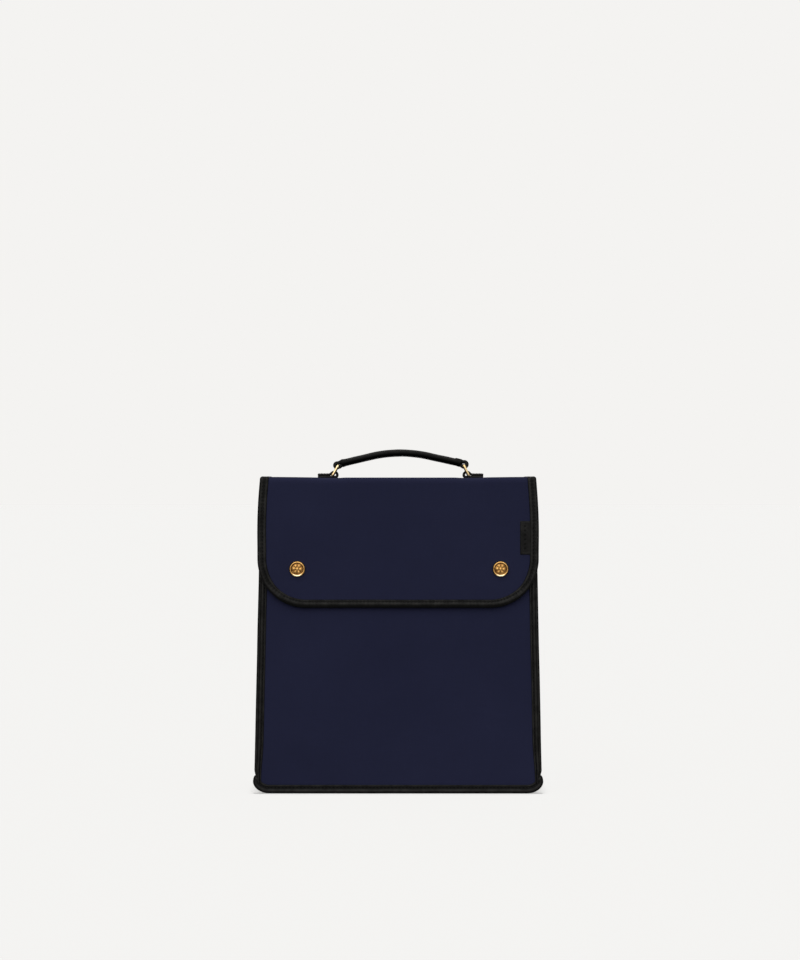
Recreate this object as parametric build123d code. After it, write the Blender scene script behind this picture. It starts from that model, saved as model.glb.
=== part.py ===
from build123d import *
import os
from math import asin, atan, cos, degrees, hypot, sin, sqrt

# Upright canvas bag with leather-bound seams, a snap-down flap and an arched leather handle.
#
# Frame, in millimetres: X to the right as seen from the front, the front faces -Y, +Z up.
# The origin is on the floor under the middle of the bag.
# "w" is a distance square to the tilted front or back panel: 0 on the panel's outer face and
# positive outwards. "Inset" is a distance in from an outline that is seen from the front.
# Left and right are the viewer's, looking at the front: left is -X.

# ---------------------------------------------------------------- driving dimensions
# Body, bound edge to bound edge
HALF_BASE = 158.0         # half width at the floor
HALF_MOUTH = 151.2        # half width at the mouth
HALF_DEPTH_BASE = 52.0    # centre to the panel's outer face, at the floor
HALF_DEPTH_MOUTH = 42.0   # the same at the mouth
MOUTH_Z = 342.6           # top of the mouth's rim
CORNER_R = 14.0           # lower corners of the front and back outlines

# Materials
CANVAS = 1.2
LINING = 0.6
BOARD = 1.0               # stiffener in the front and back panels
BASE_BOARD = 2.0
TOP_BOARD = 0.8           # stiffener in the flap's top
LEATHER = 1.3

# Bound seams
BINDING = 8.5             # width of the binding seen from the front
BASE_BINDING = 9.5        # height of the bottom binding
EAR_TOP = 20.0            # where the bottom binding's ends stop on the side bindings
EAR_OUT = 1.4             # how far those ends stand out beyond the side bindings
EAR_FRONT = 0.5           # and beyond their front face
BASE_SEAM_Z = 32.0        # seam between the base panel and each gusset

# Mouth rim
RIM = 8.0                 # height of the mouth bindings
STRIP_LOW = 313.0         # lower edge of the flap's rear strip on the back panel

# Flap
FLAP_HALF = 154.9         # widest half width
FLAP_LOW = 203.4          # lower edge
FLAP_CORNER_R = 54.0
FLAP_BULGE_Z = 275.0      # height where the side edges are widest
FLAP_SIDE_R = 789.0       # radius of the side edges above that height
FLAP_TOP_Z = 346.9        # outer face of the flap's top
FLAP_GAP = 0.6            # clearance between the flap's binding and the body's
FOLD_GAP = 3.0            # from a fold's axis to the edge of each panel that it joins

# Label in the flap's right binding
LABEL_WIDTH = 11.8
LABEL_LOW = 262.0
LABEL_HIGH = 298.0

# Snaps
SNAP_X = 111.5
SNAP_MID = 0.9            # the pair is set a little to the right of the bag's middle
SNAP_Z = 245.6
CAP_R = 8.5
CAP_HEIGHT = 3.6
CAP_RIM = 0.9
CAP_POST_R = 1.8
SOCKET_R = 5.5
SOCKET_HOLE_R = 3.0
SOCKET_DEPTH = 2.0
SOCKET_PLATE = 0.3
STUD_FLANGE_R = 5.0
STUD_FLANGE = 0.7
STUD_DOME_R = 2.2
STUD_TOP = 2.55
POST_FLANGE_R = 4.5
POST_FLANGE = 0.6
POST_R = 1.5
POST_TIP = 0.5

# Handle
GRIP_WIDTH = 17.0         # front to back
GRIP_THICK = 7.8
GRIP_TOP = 377.7          # highest point of the bag
GRIP_BEND_R = 143.0
GRIP_BEND_X = 34.6        # where the bend meets the straight ends
GRIP_END_X = 64.8
PLUG_LENGTH = 7.0         # how far an end loop reaches into the sleeve
LOOP_WIDTH = 14.0
LOOP_R = 4.4
LOOP_NECK = 5.2
LOOP_REACH = 4.6          # from the sleeve's end to the ring's bar
PIVOT_CLEARANCE = 0.1
OPEN_CLEARANCE = 0.9      # at the right ring's upper bar, the linkage's open pivot

# Rings between the handle and its tabs
RING_WIRE_R = 1.3
RING_SPAN = 19.6          # front to back, wire centre to wire centre
RING_CORNER_R = 2.4
LOWER_BAR_X = 75.3        # bars and tabs are placed from the handle's own middle
LOWER_BAR_Z = 350.6

# Tabs on the flap's top
TAB_END_X = 91.8
TAB_TOP_Z = 351.5
TAB_WIDTH = 14.0
TAB_LOOP_R = 4.55

# The handle, its rings and its tabs sit a little to the right of the bag's middle
HANDLE_MID = 2.7

# Inner pocket on the back lining
POCKET_HALF = 90.0
POCKET_LOW = 110.0
POCKET_TOP = 250.0
POCKET_GAPE = 9.0
POCKET_RIM = 7.0
POCKET_TAPE = 0.8

# Strap rings on the gussets
STRAP_BAR_Z = 316.0
STRAP_WIRE_R = 1.6
STRAP_INNER_HALF = 13.0
STRAP_LEG = 6.0
STRAP_CORNER_R = 3.5
CHAPE_WIDTH = 22.0
CHAPE_TOP = 332.5
RIVET_Z = 325.0
RIVET_R = 4.0
RIVET_HEAD = 1.4
RIVET_SHANK_R = 1.5
RIVET_WASHER = 0.8

# ---------------------------------------------------------------- worked out from the above
TAPER = (HALF_BASE - HALF_MOUTH) / MOUTH_Z
TAPER_SEC = hypot(1, TAPER)
TILT = (HALF_DEPTH_BASE - HALF_DEPTH_MOUTH) / MOUTH_Z
TILT_SEC = hypot(1, TILT)
TILT_ANGLE = atan(TILT)

PANEL_TOP = MOUTH_Z - LEATHER                  # panels and linings end under the rim's leather
W_FLANGE = -2 * CANVAS                         # inner face of the gusset's flanges
W_BOARD = -CANVAS - BOARD
W_INSIDE = W_BOARD - LINING                    # the compartment's face
WALL_OUT = BINDING                             # gusset wall, as insets
WALL_IN = WALL_OUT + CANVAS
SIDE_IN = WALL_IN + LINING
FLOOR_BOARD_TOP = WALL_IN + BASE_BOARD
FLOOR_TOP = FLOOR_BOARD_TOP + LINING

W_FLAP_BACK = LEATHER + FLAP_GAP               # back of the flap's binding
W_FLAP_LINING = W_FLAP_BACK + LEATHER
W_FLAP_CANVAS = W_FLAP_LINING + LINING
W_FLAP_FACE = W_FLAP_CANVAS + CANVAS
W_FLAP_FRONT = W_FLAP_FACE + LEATHER
W_FOLD = (W_FLAP_BACK + W_FLAP_FRONT) / 2

TOP_BOARD_Z = FLAP_TOP_Z - CANVAS              # upper face of the flap top's stiffener
TOP_LINING_Z = TOP_BOARD_Z - TOP_BOARD
TOP_LOW_Z = TOP_LINING_Z - LINING
FOLD_Z = (TOP_LOW_Z + FLAP_TOP_Z) / 2          # height of both folds

REACH = 400.0                                  # longer than the bag in every direction


def panel_y(w, z):
    """Distance from the middle to the plane at w, at height z."""
    return HALF_DEPTH_BASE + w * TILT_SEC - TILT * z


FRONT_FOLD_Y = -panel_y(W_FOLD, FOLD_Z)
REAR_FOLD_Y = panel_y(CANVAS / 2, FOLD_Z)
PANEL_FRONT_Y = FRONT_FOLD_Y + FOLD_GAP
PANEL_REAR_Y = REAR_FOLD_Y - FOLD_GAP
FLAP_PANEL_TOP = FOLD_Z - FOLD_GAP

GRIP_SLOPE = asin(GRIP_BEND_X / GRIP_BEND_R)
GRIP_MID_Z = GRIP_TOP - GRIP_THICK / 2
GRIP_BEND_Z = GRIP_MID_Z - GRIP_BEND_R * (1 - cos(GRIP_SLOPE))
GRIP_END_Z = GRIP_BEND_Z - (GRIP_END_X - GRIP_BEND_X) * sin(GRIP_SLOPE) / cos(GRIP_SLOPE)
UPPER_BAR_X = GRIP_END_X + LOOP_REACH * cos(GRIP_SLOPE)
UPPER_BAR_Z = GRIP_END_Z - LOOP_REACH * sin(GRIP_SLOPE)
RING_LENGTH = hypot(LOWER_BAR_X - UPPER_BAR_X, UPPER_BAR_Z - LOWER_BAR_Z)

STRAP_HALF = STRAP_INNER_HALF + STRAP_WIRE_R
CHAPE_LOOP_R = STRAP_WIRE_R + PIVOT_CLEARANCE + LEATHER


def gusset_x(inset, z):
    """Half width of the body's outline moved in by an inset, at height z."""
    return HALF_BASE - TAPER * z - inset * TAPER_SEC


STRAP_BAR_X = gusset_x(WALL_OUT, STRAP_BAR_Z) + CHAPE_LOOP_R


# ---------------------------------------------------------------- shapes that are used often
def prism(face):
    """A face in the XZ plane, carried through the whole depth."""
    return extrude(face, amount=REACH, both=True)


def block(x0, x1, y0, y1, z0, z1):
    """A plain box between two corners."""
    size = (x1 - x0, y1 - y0, z1 - z0)
    middle = ((x0 + x1) / 2, (y0 + y1) / 2, (z0 + z1) / 2)
    return Pos(*middle) * Box(*size)


def heights(z0, z1):
    """Everything between two heights."""
    return block(-REACH, REACH, -REACH, REACH, z0, z1)


def half_space(side):
    """Everything to the left (-1) or the right (+1) of the middle."""
    return block(min(0, side * REACH), max(0, side * REACH), -REACH, REACH, -REACH, REACH)


def lengthwise(points):
    """A polygon of (y, z) points, carried through the whole width."""
    return extrude(Plane.YZ * Polygon(*points, align=None), amount=REACH, both=True)


def slab(side, w0, w1):
    """Everything between two planes parallel to the front (-1) or back (+1) panel."""
    low, high = -10.0, FLAP_TOP_Z + 10
    points = [(w0, low), (w1, low), (w1, high), (w0, high)]
    return lengthwise([(side * panel_y(w, z), z) for w, z in points])


def between_panels(w):
    """Everything between the planes at w of the front and the back panel."""
    low, high = -10.0, FLAP_TOP_Z + 10
    points = [(-1, low), (1, low), (1, high), (-1, high)]
    return lengthwise([(side * panel_y(w, z), z) for side, z in points])


def body_outline(side_inset, low, top, corner_r):
    """The body's outline from height low to top, moved in at its sides."""
    points = [(-1, low), (1, low), (1, top), (-1, top)]
    face = Polygon(*[(side * gusset_x(side_inset, z), z) for side, z in points], align=None)
    if corner_r > 0.5:
        face = fillet(face.vertices().sort_by(Axis.Y)[:2], corner_r)
    return Plane.XZ * face


def body(inset, top=MOUTH_Z):
    """The body's outline moved in by one inset all round, through the whole depth."""
    return prism(body_outline(inset, inset, top, CORNER_R - inset))


def flap_outline(inset, top):
    """The flap's front outline moved in by an inset, cut off level at its top."""
    half = FLAP_HALF - inset
    low = FLAP_LOW + inset
    corner_r = FLAP_CORNER_R - inset
    side_r = FLAP_SIDE_R - inset
    side_angle = asin((top - FLAP_BULGE_Z) / side_r)
    corner = CenterArc((half - corner_r, low + corner_r), corner_r, -90, 90)
    edge = Line((half, low + corner_r), (half, FLAP_BULGE_Z))
    side = CenterArc((half - side_r, FLAP_BULGE_Z), side_r, 0, degrees(side_angle))
    right = [Line((0, low), (half - corner_r, low)), corner, edge, side]
    left = [mirror(piece, about=Plane.YZ) for piece in right]
    lid = Line(side @ 1, left[-1] @ 1)
    return Plane.XZ * make_face(right + left + [lid])


def flap_front(inset, w0, w1):
    """A layer of the hanging part of the flap."""
    return prism(flap_outline(inset, FLAP_PANEL_TOP)) & slab(-1, w0, w1)


def flap_half(z):
    """Half width of the flap at a height above its widest place."""
    return FLAP_HALF - FLAP_SIDE_R + sqrt(FLAP_SIDE_R**2 - (z - FLAP_BULGE_Z) ** 2)


def front_plane(x, z):
    """A plane on the front panel's face, with its normal pointing out of the bag."""
    place = (x, -panel_y(0, z), z)
    return Plane(origin=place, x_dir=(1, 0, 0), z_dir=(0, -cos(TILT_ANGLE), sin(TILT_ANGLE)))


def disc(plane, radius, w0, w1):
    """A round disc on a plane, from w0 to w1 along its normal."""
    return plane * Pos(0, 0, w0) * extrude(Circle(radius), amount=w1 - w0)


def rod_y(x, z, radius, width):
    """A round bar along Y, centred on the middle of the bag's depth."""
    return Pos(x, 0, z) * Rot(90, 0, 0) * Cylinder(radius, width)


def snap_places():
    """The two snaps: the end of their node names and their place along X."""
    return [("left", SNAP_MID - SNAP_X), ("right", SNAP_MID + SNAP_X)]


# ---------------------------------------------------------------- body
def body_canvas():
    """Front and back panels, the two gussets and the base between them."""
    nodes = {}
    for name, side in (("front_panel", -1), ("back_panel", 1)):
        nodes[name] = body(LEATHER, PANEL_TOP) & slab(side, -CANVAS, 0)
    holes = [disc(front_plane(x, SNAP_Z), POST_R, -CANVAS, 0) for _, x in snap_places()]
    nodes["front_panel"] -= holes

    wall = (body(WALL_OUT, PANEL_TOP) - body(WALL_IN)) & between_panels(-CANVAS)
    flanges = body(LEATHER, PANEL_TOP) - body(WALL_IN)
    shell = wall + (flanges & slab(-1, W_FLANGE, -CANVAS)) + (flanges & slab(1, W_FLANGE, -CANVAS))
    nodes["base_panel"] = shell & heights(0, BASE_SEAM_Z)
    upper = shell & heights(BASE_SEAM_Z, MOUTH_Z)
    for name, side in (("left", -1), ("right", 1)):
        shank = chape_plane(side) * Cylinder(RIVET_SHANK_R, 4 * BINDING)
        nodes[f"gusset_{name}"] = (upper & half_space(side)) - shank
    return nodes


def body_bindings():
    """Leather folded over the edges of the front and back seams."""
    nodes = {}
    fold = body(0) - body(BINDING)
    ear = prism(body_outline(-EAR_OUT, 0, EAR_TOP, CORNER_R + EAR_OUT))
    ear -= prism(body_outline(BINDING, BASE_BINDING, MOUTH_Z, CORNER_R - BINDING))
    for place, side in (("front", -1), ("back", 1)):
        seam = body(LEATHER, PANEL_TOP) & slab(side, W_FLANGE, 0)
        legs = (fold & slab(side, W_FLANGE - LEATHER, LEATHER) & heights(EAR_TOP, MOUTH_Z)) - seam
        for name, half in (("left", -1), ("right", 1)):
            nodes[f"{place}_binding_{name}"] = legs & half_space(half)
        low = (ear & slab(side, W_FLANGE - LEATHER, LEATHER + EAR_FRONT)) - seam
        nodes[f"{place}_binding_bottom"] = low - body(WALL_OUT)
    return nodes


def mouth_rim():
    """Leather over the mouth's front and side edges, and the flap's strip at the back."""
    nodes = {}
    band = heights(MOUTH_Z - RIM, MOUTH_Z)
    front = body(BINDING) & slab(-1, W_INSIDE - LEATHER, LEATHER) & band
    front -= body(0, PANEL_TOP) & slab(-1, W_INSIDE, 0)
    side_walls = body(BINDING, PANEL_TOP) - body(SIDE_IN)
    nodes["mouth_binding_front"] = front - (side_walls & between_panels(-CANVAS))
    side_rim = (body(WALL_OUT - LEATHER) - body(SIDE_IN + LEATHER)) & band
    side_rim -= body(WALL_OUT, PANEL_TOP) - body(SIDE_IN)
    side_rim &= between_panels(W_INSIDE - LEATHER)
    for name, side in (("left", -1), ("right", 1)):
        nodes[f"mouth_binding_{name}"] = side_rim & half_space(side)
    strip = body(BINDING, FLAP_PANEL_TOP) & slab(1, 0, CANVAS)
    nodes["flap_rear_strip"] = strip & heights(STRIP_LOW, FLAP_PANEL_TOP)
    return nodes


def body_inside():
    """Stiffeners, linings and the slip pocket."""
    nodes = {}
    post_room = [disc(front_plane(x, SNAP_Z), POST_FLANGE_R, W_BOARD, -CANVAS) for _, x in snap_places()]
    for name, side in (("front", -1), ("back", 1)):
        nodes[f"{name}_board"] = body(WALL_IN, PANEL_TOP) & slab(side, W_BOARD, -CANVAS)
        nodes[f"lining_{name}"] = body(WALL_IN, PANEL_TOP) & slab(side, W_INSIDE, W_BOARD)
    nodes["front_board"] -= post_room
    inside = body(WALL_IN) & between_panels(W_INSIDE)
    nodes["base_board"] = inside & heights(0, FLOOR_BOARD_TOP)
    nodes["lining_base"] = inside & heights(FLOOR_BOARD_TOP, FLOOR_TOP)
    side_lining = inside - body(SIDE_IN)
    for name, side in (("left", -1), ("right", 1)):
        shank = chape_plane(side) * Cylinder(RIVET_SHANK_R, 4 * BINDING)
        piece = side_lining & half_space(side) & heights(FLOOR_TOP, PANEL_TOP)
        nodes[f"lining_{name}"] = piece - shank

    w_front = W_INSIDE - POCKET_GAPE
    pouch = block(-POCKET_HALF, POCKET_HALF, 0, REACH, POCKET_LOW, POCKET_TOP)
    inner = block(LINING - POCKET_HALF, POCKET_HALF - LINING, 0, REACH, POCKET_LOW + LINING, REACH)
    pouch &= slab(1, w_front - LINING, W_INSIDE)
    nodes["inner_pocket"] = pouch - (inner & slab(1, w_front, REACH))
    tape = slab(1, w_front - LINING - POCKET_TAPE, w_front + POCKET_TAPE)
    edge = block(LINING - POCKET_HALF, POCKET_HALF - LINING, 0, REACH,
                 POCKET_TOP - POCKET_RIM, POCKET_TOP + POCKET_TAPE)
    nodes["inner_pocket_binding"] = (edge & tape) - nodes["inner_pocket"]
    return nodes


def chape_plane(side):
    """A plane on a gusset's outer face at the rivet, with its normal pointing outwards."""
    place = (side * gusset_x(WALL_OUT, RIVET_Z), 0, RIVET_Z)
    return Plane(origin=place, x_dir=(0, 1, 0), z_dir=(side, 0, TAPER))


def strap_holders():
    """Leather chapes riveted to the gussets, and the D-rings that hang in them."""
    nodes = {}
    for name, side in (("left", -1), ("right", 1)):
        plane = chape_plane(side)
        rise = CHAPE_TOP - RIVET_Z
        drop = RIVET_Z - STRAP_BAR_Z
        strip = Pos(0, (rise - drop) / 2, LEATHER) * Box(CHAPE_WIDTH, rise + drop, 2 * LEATHER)
        if side < 0:
            strip = Rot(0, 0, 180) * strip
        bar_x = side * STRAP_BAR_X
        chape = plane * strip + rod_y(bar_x, STRAP_BAR_Z, CHAPE_LOOP_R, CHAPE_WIDTH)
        chape -= body(WALL_OUT)
        shank = plane * Cylinder(RIVET_SHANK_R, 4 * BINDING)
        bore = rod_y(bar_x, STRAP_BAR_Z, STRAP_WIRE_R + PIVOT_CLEARANCE, 2 * CHAPE_WIDTH)
        nodes[f"strap_chape_{name}"] = chape - shank - bore

        head = disc(plane, RIVET_R, 2 * LEATHER, 2 * LEATHER + RIVET_HEAD)
        head = fillet(head.edges().group_by(Axis.X)[-1 if side > 0 else 0], RIVET_HEAD / 2)
        depth = SIDE_IN - WALL_OUT
        rod = disc(plane, RIVET_SHANK_R, -depth, 2 * LEATHER)
        washer = disc(plane, RIVET_R, -depth - RIVET_WASHER, -depth)
        nodes[f"chape_rivet_{name}"] = head + rod + washer
        nodes[f"strap_ring_{name}"] = strap_ring(bar_x)
    return nodes


def strap_ring(bar_x):
    """A D-ring with its straight bar on top, hanging straight down."""
    leg = STRAP_LEG
    face = Pos(0, -leg / 2) * Rectangle(2 * STRAP_HALF, leg) + Pos(0, -leg) * Circle(STRAP_HALF)
    face -= Pos(0, STRAP_HALF) * Rectangle(4 * STRAP_HALF, 2 * STRAP_HALF)
    face = fillet(face.vertices().group_by(Axis.Y)[-1], STRAP_CORNER_R)
    path = Plane(origin=(bar_x, 0, STRAP_BAR_Z), x_dir=(0, 1, 0), z_dir=(1, 0, 0)) * face
    wire = path.face().outer_wire()
    profile = Plane(origin=wire @ 0, z_dir=wire % 0) * Circle(STRAP_WIRE_R)
    return sweep(profile, path=wire)


def snap_fasteners():
    """Studs and posts on the front panel, caps and sockets on the flap."""
    nodes = {}
    for name, x in snap_places():
        plane = front_plane(x, SNAP_Z)
        centre = STUD_TOP - STUD_DOME_R
        dome = plane * Pos(0, 0, centre) * Sphere(STUD_DOME_R)
        dome &= disc(plane, STUD_DOME_R + 1, 0, STUD_TOP + 1)
        stud = disc(plane, STUD_FLANGE_R, 0, STUD_FLANGE) + dome
        post = disc(plane, POST_R, -CANVAS, POST_TIP)
        nodes[f"snap_stud_{name}"] = stud - post
        nodes[f"snap_post_{name}"] = post + disc(plane, POST_FLANGE_R, -CANVAS - POST_FLANGE, -CANVAS)

        w_low = W_FLAP_LINING - SOCKET_DEPTH
        socket = disc(plane, SOCKET_R, w_low, W_FLAP_LINING)
        socket -= disc(plane, SOCKET_HOLE_R, w_low, W_FLAP_LINING - SOCKET_PLATE)
        shank = disc(plane, CAP_POST_R, W_FLAP_LINING - SOCKET_PLATE, W_FLAP_FACE)
        nodes[f"snap_socket_{name}"] = socket - shank
        nodes[f"snap_cap_{name}"] = snap_cap(plane) + shank
    return nodes


def snap_cap(plane):
    """A shallow round dome on a straight rim."""
    rise = CAP_HEIGHT - CAP_RIM
    dome_r = (CAP_R**2 + rise**2) / (2 * rise)
    w_rim = W_FLAP_FACE + CAP_RIM
    ball = plane * Pos(0, 0, W_FLAP_FACE + CAP_HEIGHT - dome_r) * Sphere(dome_r)
    dome = ball & disc(plane, CAP_R, w_rim, w_rim + CAP_HEIGHT)
    return disc(plane, CAP_R, W_FLAP_FACE, w_rim) + dome


# ---------------------------------------------------------------- flap
def flap_sheets():
    """The flap's top and front: canvas, lining and stiffener, the bindings and the label."""
    nodes = {}
    half = flap_half(FOLD_Z)
    inner = half - LEATHER
    y0, y1 = PANEL_FRONT_Y, PANEL_REAR_Y
    nodes["flap_top_panel"] = block(-inner, inner, y0, y1, TOP_BOARD_Z, FLAP_TOP_Z)
    nodes["flap_top_board"] = block(-inner, inner, y0, y1, TOP_LINING_Z, TOP_BOARD_Z)
    nodes["flap_top_lining"] = block(-inner, inner, y0, y1, TOP_LOW_Z, TOP_LINING_Z)
    seam = block(-inner, inner, y0, y1, TOP_LOW_Z, FLAP_TOP_Z)
    for name, side in (("left", -1), ("right", 1)):
        xs = sorted((side * (half - BINDING), side * half))
        strip = block(xs[0], xs[1], y0, y1, TOP_LOW_Z - LEATHER, FLAP_TOP_Z + LEATHER)
        nodes[f"flap_top_binding_{name}"] = strip - seam

    holes = [disc(front_plane(x, SNAP_Z), CAP_POST_R, 0, 2 * W_FLAP_FACE) for _, x in snap_places()]
    nodes["flap_front_panel"] = flap_front(LEATHER, W_FLAP_CANVAS, W_FLAP_FACE) - holes
    nodes["flap_front_lining"] = flap_front(LEATHER, W_FLAP_LINING, W_FLAP_CANVAS) - holes
    border = flap_front(0, W_FLAP_BACK, W_FLAP_FRONT) - prism(flap_outline(BINDING, FLAP_TOP_Z))
    nodes["flap_binding"] = border - flap_front(LEATHER, W_FLAP_LINING, W_FLAP_FACE)

    x_in = FLAP_HALF - BINDING - LABEL_WIDTH
    label = block(x_in, FLAP_HALF, -REACH, 0, LABEL_LOW, LABEL_HIGH)
    label &= prism(flap_outline(BINDING, FLAP_TOP_Z))
    nodes["label_tab"] = label & slab(-1, W_FLAP_FACE, W_FLAP_FRONT)
    return nodes


# ---------------------------------------------------------------- handle
def handle_pieces():
    """Sleeve, core and end loops of the arched handle."""
    ends = [Vector(side * GRIP_END_X, 0, GRIP_END_Z) for side in (-1, 1)]
    joins = [Vector(side * GRIP_BEND_X, 0, GRIP_BEND_Z) for side in (-1, 1)]
    bend = ThreePointArc(joins[0], Vector(0, 0, GRIP_MID_Z), joins[1])
    path = Wire([Line(ends[0], joins[0]).edge(), bend.edge(), Line(joins[1], ends[1]).edge()])
    start = Plane(origin=path @ 0, x_dir=(0, 1, 0), z_dir=path % 0)
    outer = sweep(start * Ellipse(GRIP_WIDTH / 2, GRIP_THICK / 2), path=path)
    filling = sweep(start * Ellipse(GRIP_WIDTH / 2 - LEATHER, GRIP_THICK / 2 - LEATHER), path=path)
    core_end = GRIP_END_X - PLUG_LENGTH
    nodes = {"handle_grip": outer - filling}
    nodes["handle_core"] = filling & block(-core_end, core_end, -REACH, REACH, 0, REACH)
    for name, side, gap in (("left", -1, PIVOT_CLEARANCE), ("right", 1, OPEN_CLEARANCE)):
        plug = filling - block(-core_end, core_end, -REACH, REACH, 0, REACH)
        plug &= half_space(side)
        x, z = side * UPPER_BAR_X, UPPER_BAR_Z
        neck = Pos(-side * LOOP_REACH / 2, 0, 0) * Box(LOOP_REACH, LOOP_WIDTH, LOOP_NECK)
        neck = Pos(x, 0, z) * Rot(0, side * degrees(GRIP_SLOPE), 0) * neck
        loop = rod_y(x, z, LOOP_R, LOOP_WIDTH) + neck
        nodes[f"handle_loop_{name}"] = (loop - rod_y(x, z, RING_WIRE_R + gap, 2 * LOOP_WIDTH)) + plug
    return nodes


def ring_pieces():
    """Small rectangular rings, leaning in, between the handle and its tabs."""
    nodes = {}
    for name, side in (("left", -1), ("right", 1)):
        lower = Vector(side * LOWER_BAR_X, 0, LOWER_BAR_Z)
        upper = Vector(side * UPPER_BAR_X, 0, UPPER_BAR_Z)
        normal = Vector(0, 1, 0).cross(upper - lower)
        plane = Plane(origin=(lower + upper) / 2, x_dir=(0, 1, 0), z_dir=normal)
        path = plane * RectangleRounded(RING_SPAN, RING_LENGTH, RING_CORNER_R)
        wire = path.face().outer_wire()
        profile = Plane(origin=wire @ 0, z_dir=wire % 0) * Circle(RING_WIRE_R)
        nodes[f"ring_{name}"] = sweep(profile, path=wire)
    return nodes


def handle_tabs():
    """Leather tabs along the flap's top, folded round the rings' lower bars."""
    nodes = {}
    half = TAB_WIDTH / 2
    for name, side in (("left", -1), ("right", 1)):
        xs = sorted((side * LOWER_BAR_X, side * TAB_END_X))
        tab = block(xs[0], xs[1], -half, half, FLAP_TOP_Z, TAB_TOP_Z)
        tab += rod_y(side * LOWER_BAR_X, LOWER_BAR_Z, TAB_LOOP_R, TAB_WIDTH)
        tab &= heights(FLAP_TOP_Z, REACH)
        bore = rod_y(side * LOWER_BAR_X, LOWER_BAR_Z, RING_WIRE_R + PIVOT_CLEARANCE, 2 * TAB_WIDTH)
        nodes[f"handle_tab_{name}"] = tab - bore
    return nodes


def build():
    """Every node of the bag, by name."""
    nodes = {}
    sections = (body_canvas, body_bindings, mouth_rim, body_inside, strap_holders,
                snap_fasteners, flap_sheets)
    for section in sections:
        nodes.update(section())
    for section in (handle_pieces, ring_pieces, handle_tabs):
        for name, shape in section().items():
            nodes[name] = Pos(HANDLE_MID, 0, 0) * shape
    return nodes


os.makedirs("parts", exist_ok=True)
for node_name, shape in build().items():
    export_step(shape, f"parts/{node_name}.step")

print("front fold axis", round(FRONT_FOLD_Y, 4), round(FOLD_Z, 4))
print("rear fold axis", round(REAR_FOLD_Y, 4), round(FOLD_Z, 4))
for end in (-1, 1):
    print("ring bars", round(HANDLE_MID + end * LOWER_BAR_X, 4), LOWER_BAR_Z,
          round(HANDLE_MID + end * UPPER_BAR_X, 4), round(UPPER_BAR_Z, 4))
print("strap ring bar", round(STRAP_BAR_X, 4), STRAP_BAR_Z)
print("handle follows its ring by", round(-1 - (LOWER_BAR_X - UPPER_BAR_X) / UPPER_BAR_X, 4))
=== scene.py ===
import json
import math
import random

import bmesh
import bpy
import numpy as np
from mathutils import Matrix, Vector, noise


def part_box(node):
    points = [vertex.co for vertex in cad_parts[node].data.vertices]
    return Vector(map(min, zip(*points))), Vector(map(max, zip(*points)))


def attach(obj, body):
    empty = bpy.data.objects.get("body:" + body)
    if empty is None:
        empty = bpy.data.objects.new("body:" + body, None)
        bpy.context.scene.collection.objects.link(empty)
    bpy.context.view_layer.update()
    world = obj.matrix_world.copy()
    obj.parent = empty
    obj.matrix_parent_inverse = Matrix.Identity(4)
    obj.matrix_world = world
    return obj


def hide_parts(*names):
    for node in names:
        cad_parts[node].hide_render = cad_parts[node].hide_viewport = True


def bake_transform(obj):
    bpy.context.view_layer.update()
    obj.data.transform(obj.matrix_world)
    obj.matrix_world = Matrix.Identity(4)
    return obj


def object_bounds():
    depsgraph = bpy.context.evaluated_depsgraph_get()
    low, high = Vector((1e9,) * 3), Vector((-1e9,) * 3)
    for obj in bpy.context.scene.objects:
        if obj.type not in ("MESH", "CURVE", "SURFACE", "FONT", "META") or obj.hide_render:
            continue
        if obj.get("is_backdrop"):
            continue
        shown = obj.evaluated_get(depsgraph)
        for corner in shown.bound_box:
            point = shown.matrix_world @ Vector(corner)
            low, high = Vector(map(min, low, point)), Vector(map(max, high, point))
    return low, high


# A canvas bag with leather-bound seams, a snap-down flap and an arched leather handle.
# Metres, in the CAD frame: +X right seen from the front, the front faces -Y, +Z up.
# "u" is a distance in from an outline's edge, "w" a distance out from a sheet's outer face.

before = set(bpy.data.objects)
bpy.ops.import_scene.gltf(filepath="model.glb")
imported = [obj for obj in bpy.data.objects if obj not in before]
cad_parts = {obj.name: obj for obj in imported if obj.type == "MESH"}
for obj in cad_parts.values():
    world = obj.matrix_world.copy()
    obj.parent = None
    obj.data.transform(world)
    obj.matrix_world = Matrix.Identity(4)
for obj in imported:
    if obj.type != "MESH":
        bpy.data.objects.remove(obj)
CAD_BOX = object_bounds()
MM = 0.001
UP = Vector((0, 0, 1))


# ---------------------------------------------------------------- sizes read from the frame
def points_of(node):
    """A CAD node's points as an array."""
    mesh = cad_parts[node].data
    flat = np.empty(len(mesh.vertices) * 3)
    mesh.vertices.foreach_get("co", flat)
    return flat.reshape(-1, 3)


def reach(node, axis, z):
    """Largest distance from the middle along an axis, among a node's points at a height."""
    points = points_of(node)
    return np.abs(points[np.abs(points[:, 2] - z) < 0.4 * MM, axis]).max()


def line_through(node, axis, low, high):
    """The straight edge or face of a node as a function of height."""
    a, b = reach(node, axis, low), reach(node, axis, high)
    return lambda z: a + (b - a) * (z - low) / (high - low)


EAR_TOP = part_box("front_binding_left")[0].z
MOUTH_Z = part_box("front_binding_left")[1].z
PANEL_LOW, PANEL_TOP = (corner.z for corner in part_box("front_panel"))
half_width = line_through("front_binding_left", 0, EAR_TOP, MOUTH_Z)
half_depth = line_through("front_panel", 1, PANEL_LOW, PANEL_TOP)
TILT = math.atan(half_depth(0) - half_depth(1))

FLAP_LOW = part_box("flap_binding")[0].z
FLAP_PANEL_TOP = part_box("flap_binding")[1].z
FLAP_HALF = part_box("flap_binding")[1].x
STRIP_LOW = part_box("flap_rear_strip")[0].z
BASE_SEAM_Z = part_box("gusset_left")[0].z

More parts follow.
